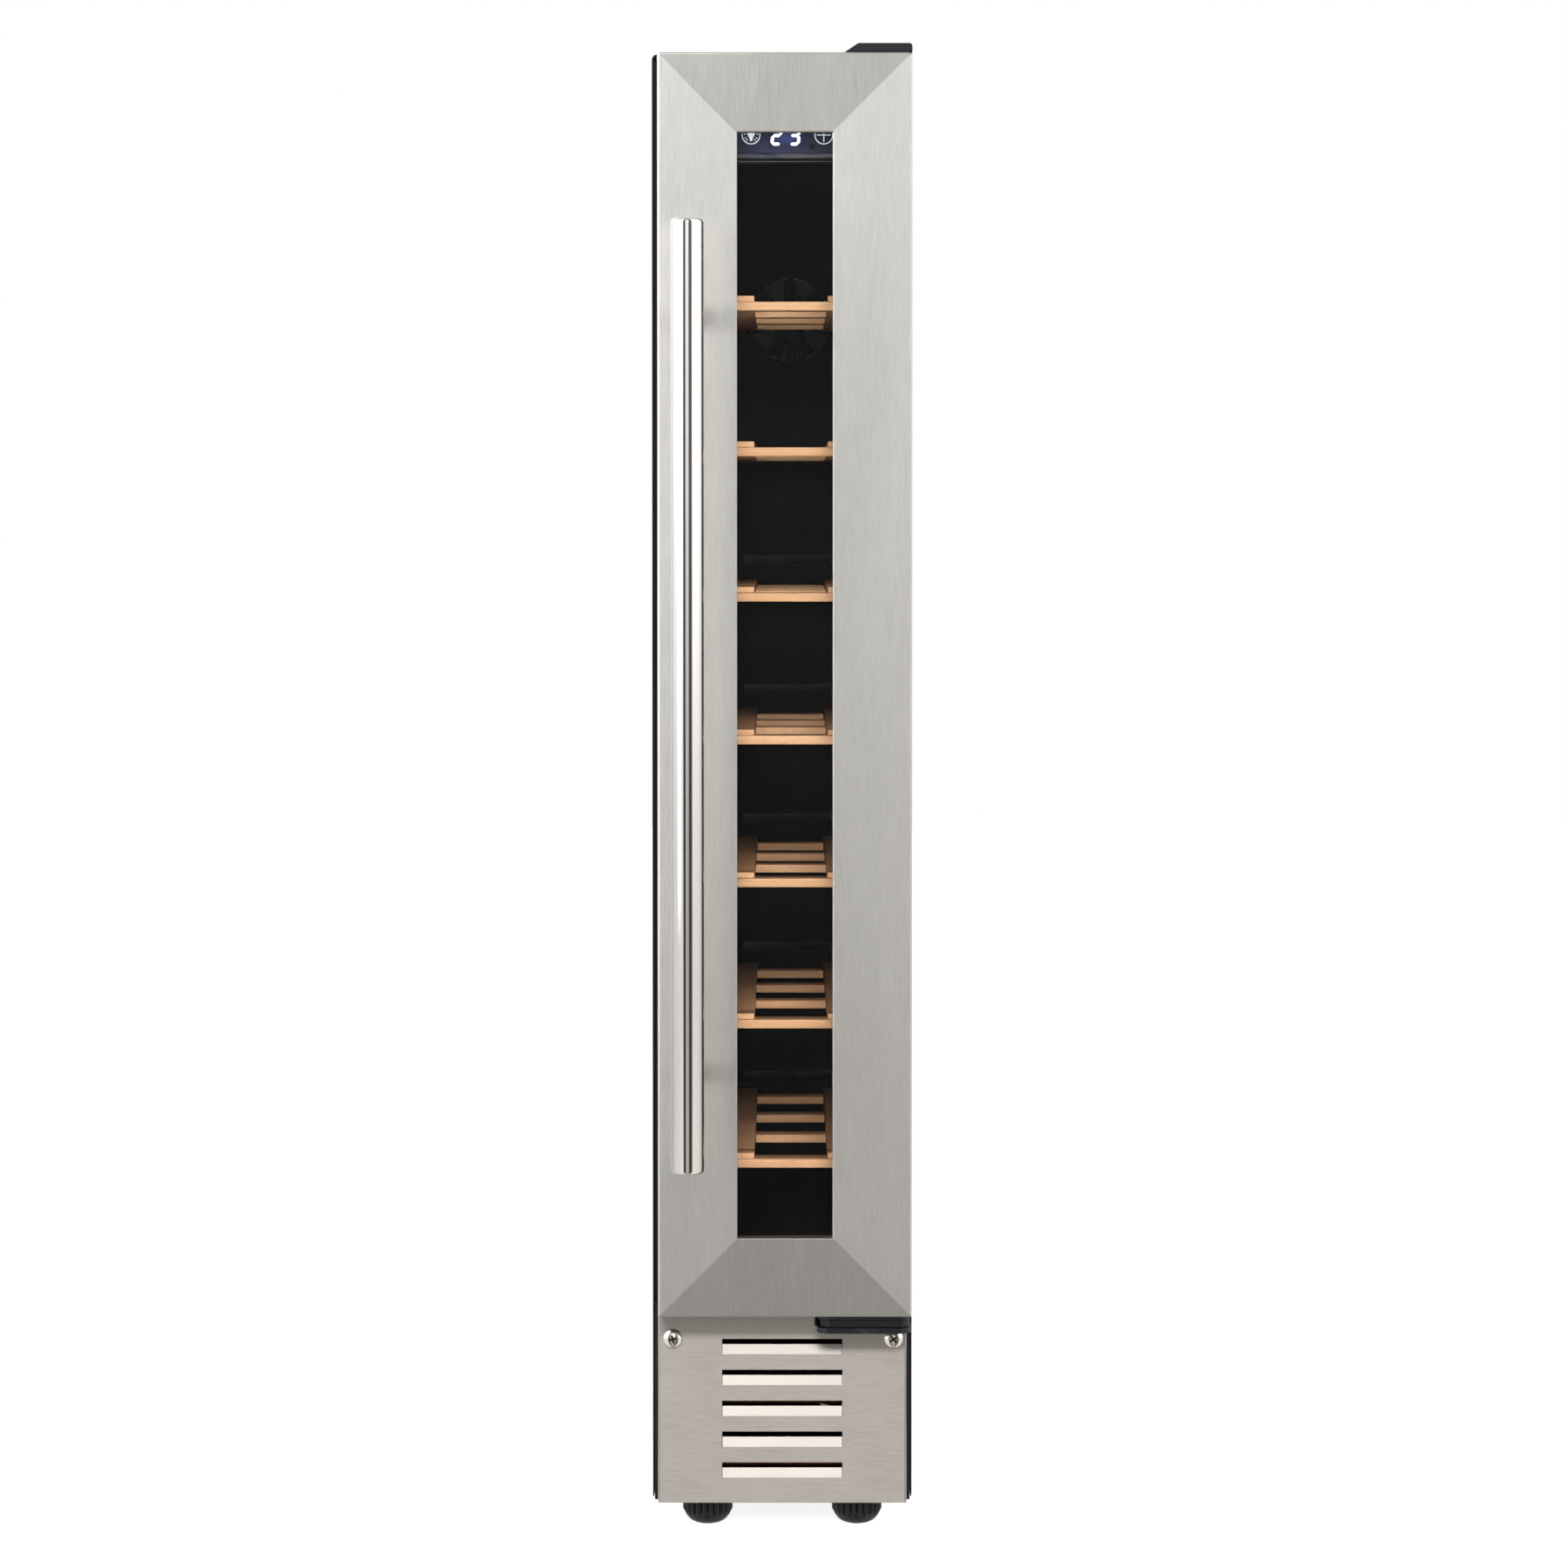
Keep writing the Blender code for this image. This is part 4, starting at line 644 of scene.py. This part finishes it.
# small dished cap of the thermostat's sensor
sensor = {"x": 17.0 * mm, "aboveLens": 3.7 * mm, "radius": 1.75 * mm}
shape = bmesh.new()
sensorAt = Matrix.Translation((sensor["x"], lensFace, lensLow.z + sensor["aboveLens"])) @ \
    Matrix.Rotation(math.pi / 2, 4, "X")
addLathe(shape, [(0, 0), (sensor["radius"], 0), (sensor["radius"], 0.10 * mm), (1.50 * mm, 0.16 * mm),
                 (1.30 * mm, 0.08 * mm), (0, 0.06 * mm)], sensorAt, 40)
makePiece("thermostatSensor", shape, [mouldedRubber], "cabinet")
print("control symbols ready")

# ---- kick plate screws: domed heads with a cross recess

screw = {"headRadius": 5.5 * mm, "rise": 2.6 * mm, "slotHalf": 0.62 * mm, "slotReach": 2.7 * mm, "slotDepth": 2.0 * mm}
for side, turn in (("left", 14), ("right", 38)):
    low, high = corners("kick_screw_" + side)
    at = Vector(((low.x + high.x) / 2, low.y, (low.z + high.z) / 2))
    dome = []
    for i in range(13):
        angle = math.pi / 2 * i / 12
        dome.append((screw["headRadius"] * math.cos(angle) ** 0.85, screw["rise"] * math.sin(angle)))
    profile = [(0, -10.0 * mm), (1.9 * mm, -10.0 * mm), (1.9 * mm, -0.25 * mm),
               (screw["headRadius"] - 0.2 * mm, -0.25 * mm)]
    profile += [(r, z) for r, z in dome[:-1]] + [(0, screw["rise"])]
    head = bmesh.new()
    facing = Matrix.Translation((at.x, at.y + screw["rise"], at.z)) @ Matrix.Rotation(math.pi / 2, 4, "X")
    addLathe(head, profile, facing, 72)
    piece = makePiece("kickScrew_" + side, head, [platedScrewSteel], "cabinet",
                      ["kick_screw_" + side])
    reach, wide = screw["slotReach"], screw["slotHalf"]
    cross = []
    for quarter in range(4):
        angle = math.radians(turn + 90 * quarter)
        for x, y in ((wide, -wide), (reach, -wide * 0.8), (reach, wide * 0.8)):
            cross.append((x * math.cos(angle) - y * math.sin(angle), x * math.sin(angle) + y * math.cos(angle)))
    recess = bmesh.new()
    rims = [[recess.verts.new((x * shrink, y * shrink, z)) for x, y in cross]
            for shrink, z in ((1.15, screw["rise"] + 1 * mm), (0.60, screw["rise"] - screw["slotDepth"]))]
    recess.faces.new(rims[0])
    recess.faces.new(rims[1])
    for i in range(len(cross)):
        j = (i + 1) % len(cross)
        recess.faces.new((rims[0][i], rims[0][j], rims[1][j], rims[1][i]))
    bmesh.ops.recalc_face_normals(recess, faces=recess.faces[:])
    bmesh.ops.transform(recess, matrix=facing, verts=recess.verts[:])
    # the cutter's faces give the recess its painted shade
    cutterMesh = bpy.data.meshes.new("recess")
    cutterMesh.materials.append(recessPaintedShade)
    recess.to_mesh(cutterMesh)
    recess.free()
    cutter = bpy.data.objects.new("recess", cutterMesh)
    scene.collection.objects.link(cutter)
    sink = piece.modifiers.new("recess", "BOOLEAN")
    sink.object = cutter
    sink.operation = "DIFFERENCE"
    sink.solver = "EXACT"
    sink.material_mode = "TRANSFER"
    bpy.context.view_layer.update()
    ready = bpy.data.meshes.new_from_object(piece.evaluated_get(bpy.context.evaluated_depsgraph_get()))
    piece.modifiers.remove(sink)
    piece.data = ready
    ready.set_sharp_from_angle(angle=math.radians(32))
    bpy.data.objects.remove(cutter)
print("screws ready")

# ---- levelling feet: ribbed grip ring over a rounded sole

foot = {"ribs": 22, "ribDepth": 1.5 * mm, "stemRadius": 4.0 * mm, "gripHigh": 15.4 * mm,
        "ribInner": 12.5 * mm, "ribLow": 5.6 * mm, "ribHigh": 14.6 * mm, "ribFade": 1.2 * mm}
for place in ("front_left", "front_right", "rear_left", "rear_right"):
    low, high = corners("foot_" + place)
    centre = ((low.x + high.x) / 2, (low.y + high.y) / 2, 0)
    radius, top = (high.x - low.x) / 2, foot["gripHigh"]

    def rib(reach, height, angle):
        if reach < foot["ribInner"] or height > foot["ribHigh"]:
            return reach
        fade = max(0.0, min(1.0, (height - foot["ribLow"]) / foot["ribFade"]))
        wave = 0.5 + 0.5 * math.cos(foot["ribs"] * angle)
        return reach - foot["ribDepth"] * fade * (1 - wave ** 0.6)

    # bowl-shaped sole that widens up to the grip ring
    profile = [(0, 0), (4.7 * mm, 0), (7.3 * mm, 0.7 * mm), (9.5 * mm, 1.8 * mm), (10.6 * mm, 2.7 * mm),
               (11.4 * mm, 3.6 * mm), (12.3 * mm, 4.8 * mm), (13.0 * mm, 6.0 * mm), (13.5 * mm, 7.1 * mm),
               (radius - 0.2 * mm, 7.8 * mm), (radius, 8.6 * mm), (radius, 10.8 * mm), (radius, top - 1.0 * mm),
               (radius - 0.2 * mm, top - 0.5 * mm), (radius - 1.6 * mm, top - 0.05 * mm), (radius - 1.9 * mm, top),
               (6.5 * mm, top), (foot["stemRadius"], top), (foot["stemRadius"], high.z - 0.6 * mm),
               (foot["stemRadius"] - 0.5 * mm, high.z), (0, high.z)]
    shape = bmesh.new()
    addLathe(shape, profile, Matrix.Translation(centre), foot["ribs"] * 8, rib)
    makePiece("levellingFoot_" + place, shape, [mouldedNylon], "foot_" + place, ["foot_" + place], 40)
print("feet ready")

# ---- beech shelves

shelf = {"barDepth": 22 * mm, "barHeight": 5 * mm, "cradle": 42 * mm, "setBack": 1.0 * mm,
         "ease": 0.35 * mm, "crossBars": ((125, 145), (235, 255), (343, 364)), "joint": 0.12 * mm}
for number in range(1, 8):
    low, high = corners(f"shelf_{number}")
    middle = (low.x + high.x) / 2
    inner = shelf["cradle"] / 2
    shape = bmesh.new()
    addBlock(shape, (low.x, low.y, low.z), (high.x, low.y + shelf["barDepth"], low.z + shelf["barHeight"]),
             shelf["ease"])
    for side in (-1, 1):
        ends = sorted((middle + side * inner, low.x if side < 0 else high.x))
        addBlock(shape, (ends[0], low.y + shelf["setBack"], low.z + shelf["barHeight"] + shelf["joint"]),
                 (ends[1], low.y + shelf["barDepth"], high.z), shelf["ease"], 2, 1)
        addBlock(shape, (ends[0], low.y + shelf["barDepth"] + shelf["joint"], low.z), (ends[1], high.y, high.z),
                 shelf["ease"], 2, 1)
    for first, last in shelf["crossBars"]:
        addBlock(shape, (middle - inner + shelf["joint"], low.y + first * mm, low.z + 0.4 * mm),
                 (middle + inner - shelf["joint"], low.y + last * mm, low.z + shelf["barHeight"]), shelf["ease"])
    makePiece(f"beechShelf_{number}", shape, [beechAcross, beechBoards], f"shelf_{number}",
              [f"shelf_{number}"])
print("shelves ready")

# ---- finishes for the CAD parts that stay

keptFinishes = {
    "back_panel": galvanisedSheet, "machine_deck": galvanisedSheet, "rear_grille": galvanisedSheet,
    "base_frame": powderCoatedSteel, "power_inlet": mouldedAbs, "inner_liner": formedLiner,
    "foam_insulation": blownFoam, "light_strip": opalDiffuser, "air_duct_cover": formedLiner,
    "circulation_fan_frame": mouldedAbs, "circulation_fan_rotor": mouldedAbs, "evaporator": rolledAluminium,
    "compressor": dippedEnamel, "drip_tray": mouldedPolypropylene, "condenser_coil": drawnCopper,
    "condenser_fan_frame": mouldedAbs, "condenser_fan_rotor": mouldedAbs, "filter_dryer": drawnCopper,
    "power_board_box": mouldedAbs, "outer_glass": toughenedGlass, "inner_glass": coatedGlass,
    "glass_spacer": rolledAluminium, "hinge_bush": mouldedNylon,
    "compressor_grommet_1": mouldedRubber, "compressor_grommet_2": mouldedRubber,
    "compressor_grommet_3": mouldedRubber, "compressor_grommet_4": mouldedRubber}
for name, finish in keptFinishes.items():
    part = nodes[name]
    for slot in part.material_slots:
        slot.material = finish
print("kept parts ready")

# ---- studio

studio = {"worldStrength": 1.0, "floorSize": 14.0}
world = bpy.data.worlds.new("studio")
scene.world = world
world.use_nodes = True
tree = world.node_tree
tree.nodes.clear()
place = addNode(tree, "ShaderNodeTexCoord")
parts = addNode(tree, "ShaderNodeSeparateXYZ", {}, {"Vector": (place, "Generated")})
ahead = addNode(tree, "ShaderNodeMath", {"operation": "MULTIPLY", 1: -1.0}, {0: (parts, "Y")})
turn = addNode(tree, "ShaderNodeMath", {"operation": "ARCTAN2"}, {0: (parts, "X"), 1: (ahead, "Value")})
round01 = addNode(tree, "ShaderNodeMapRange", {"From Min": -math.pi, "From Max": math.pi}, {"Value": (turn, "Value")})


def grey(level, warm=0.0):
    return (level * (1 + warm), level, level * (1 - warm), 1.0)


# panels round the studio, by degrees from straight ahead of the door, left negative
panels = [(-180, grey(0.75)), (-140, grey(1.0)), (-116, grey(0.8)), (-108, grey(1.2)), (-29, grey(1.4)),
          (-26, grey(0.03)), (-13, grey(0.03)), (-10, grey(0.80, -0.02)), (9, grey(0.76, -0.01)),
          (12, grey(0.08, 0.12)), (32, grey(0.09, 0.12)), (37, grey(1.45)), (75, grey(1.4)), (105, grey(1.2)),
          (140, grey(0.9)), (180, grey(0.75))]
ring = addNode(tree, "ShaderNodeValToRGB", {"stops": [((angle + 180) / 360, tint) for angle, tint in panels]},
               {"Fac": (round01, "Result")})
# dimmer and warmer towards the floor, brightest just above eye level; the ramp runs from straight down to straight up
heights = [(0.0, grey(0.75, 0.05)), (0.36, grey(0.75, 0.05)), (0.41, grey(0.66, 0.04)), (0.432, grey(0.70, 0.02)),
           (0.471, grey(0.84, 0.01)), (0.504, grey(1.06)), (0.545, grey(1.38)), (0.60, grey(1.65)), (0.63, grey(1.7)),
           (0.76, grey(1.4)), (1.0, grey(0.9))]
upDown = addNode(tree, "ShaderNodeMapRange", {"From Min": -1.0, "From Max": 1.0}, {"Value": (parts, "Z")})
rise = addNode(tree, "ShaderNodeValToRGB", {"stops": heights}, {"Fac": (upDown, "Result")})
both = addNode(tree, "ShaderNodeMix", {"data_type": "RGBA", "blend_type": "MULTIPLY", 0: 1.0},
               {6: (ring, "Color"), 7: (rise, "Color")})
lit = addNode(tree, "ShaderNodeBackground", {"Strength": studio["worldStrength"]}, {"Color": (both, 2)})
plain = addNode(tree, "ShaderNodeBackground", {"Color": (1, 1, 1, 1), "Strength": 1.0})
seen = addNode(tree, "ShaderNodeLightPath")
choose = addNode(tree, "ShaderNodeMixShader", {},
                 {0: (seen, "Is Camera Ray"), 1: (lit, "Background"), 2: (plain, "Background")})
addNode(tree, "ShaderNodeOutputWorld", {}, {"Surface": (choose, "Shader")})


def addSoftLight(name, at, towards, size, power, colour=(1, 1, 1), shiny=True):
    data = bpy.data.lights.new(name, "AREA")
    data.shape = "RECTANGLE"
    data.size, data.size_y = size
    data.energy = power
    data.color = colour
    lamp = bpy.data.objects.new(name, data)
    lamp.location = at
    lamp.rotation_euler = (Vector(towards) - Vector(at)).to_track_quat("-Z", "Y").to_euler()
    lamp.visible_camera = False
    lamp.visible_glossy = shiny
    scene.collection.objects.link(lamp)


# a broad fill for the matt parts, a distant strip that only the louvre tabs mirror, and a low card on the left
addSoftLight("frontFill", (0.1, -3.2, 0.75), (0, 0, 0.42), (1.0, 1.8), 140, (1.0, 0.96, 0.92), False)
addSoftLight("louvreStrip", (0, -12.2, 5.1), (0, -0.2, 0.065), (3.6, 1.2), 330)
addSoftLight("leftCard", (-1.6, -1.3, 0.9), (0, 0, 0.5), (0.8, 1.6), 14)

# White studio floor: matt paint that lifts itself to paper white and still takes a faint contact shadow
floorFinish, tree = startFinish("studioFloor")
place = addNode(tree, "ShaderNodeTexCoord")
scuff = addNode(tree, "ShaderNodeTexNoise", {"Scale": 3.0, "Detail": 3.0}, {"Vector": (place, "Object")})
tone = addNode(tree, "ShaderNodeValToRGB", {"stops": [(0.3, "#A8A8A8"), (0.7, "#B0B0B0")]}, {"Fac": (scuff, "Fac")})
shader = addNode(tree, "ShaderNodeBsdfPrincipled",
                 {"Roughness": 0.9, "Specular IOR Level": 0.1, "Emission Strength": 0.84,
                  "Emission Color": (1, 1, 1, 1)}, {"Base Color": (tone, "Color")})
addNode(tree, "ShaderNodeOutputMaterial", {}, {"Surface": (shader, "BSDF")})
half = studio["floorSize"] / 2
floorMesh = bpy.data.meshes.new("studioFloor")
floorMesh.from_pydata([(-half, -half, 0), (half, -half, 0), (half, half, 0), (-half, half, 0)], [], [(0, 1, 2, 3)])
floorMesh.materials.append(floorFinish)
floor = bpy.data.objects.new("studioFloor", floorMesh)
floor.visible_glossy = False
scene.collection.objects.link(floor)
print("studio ready")
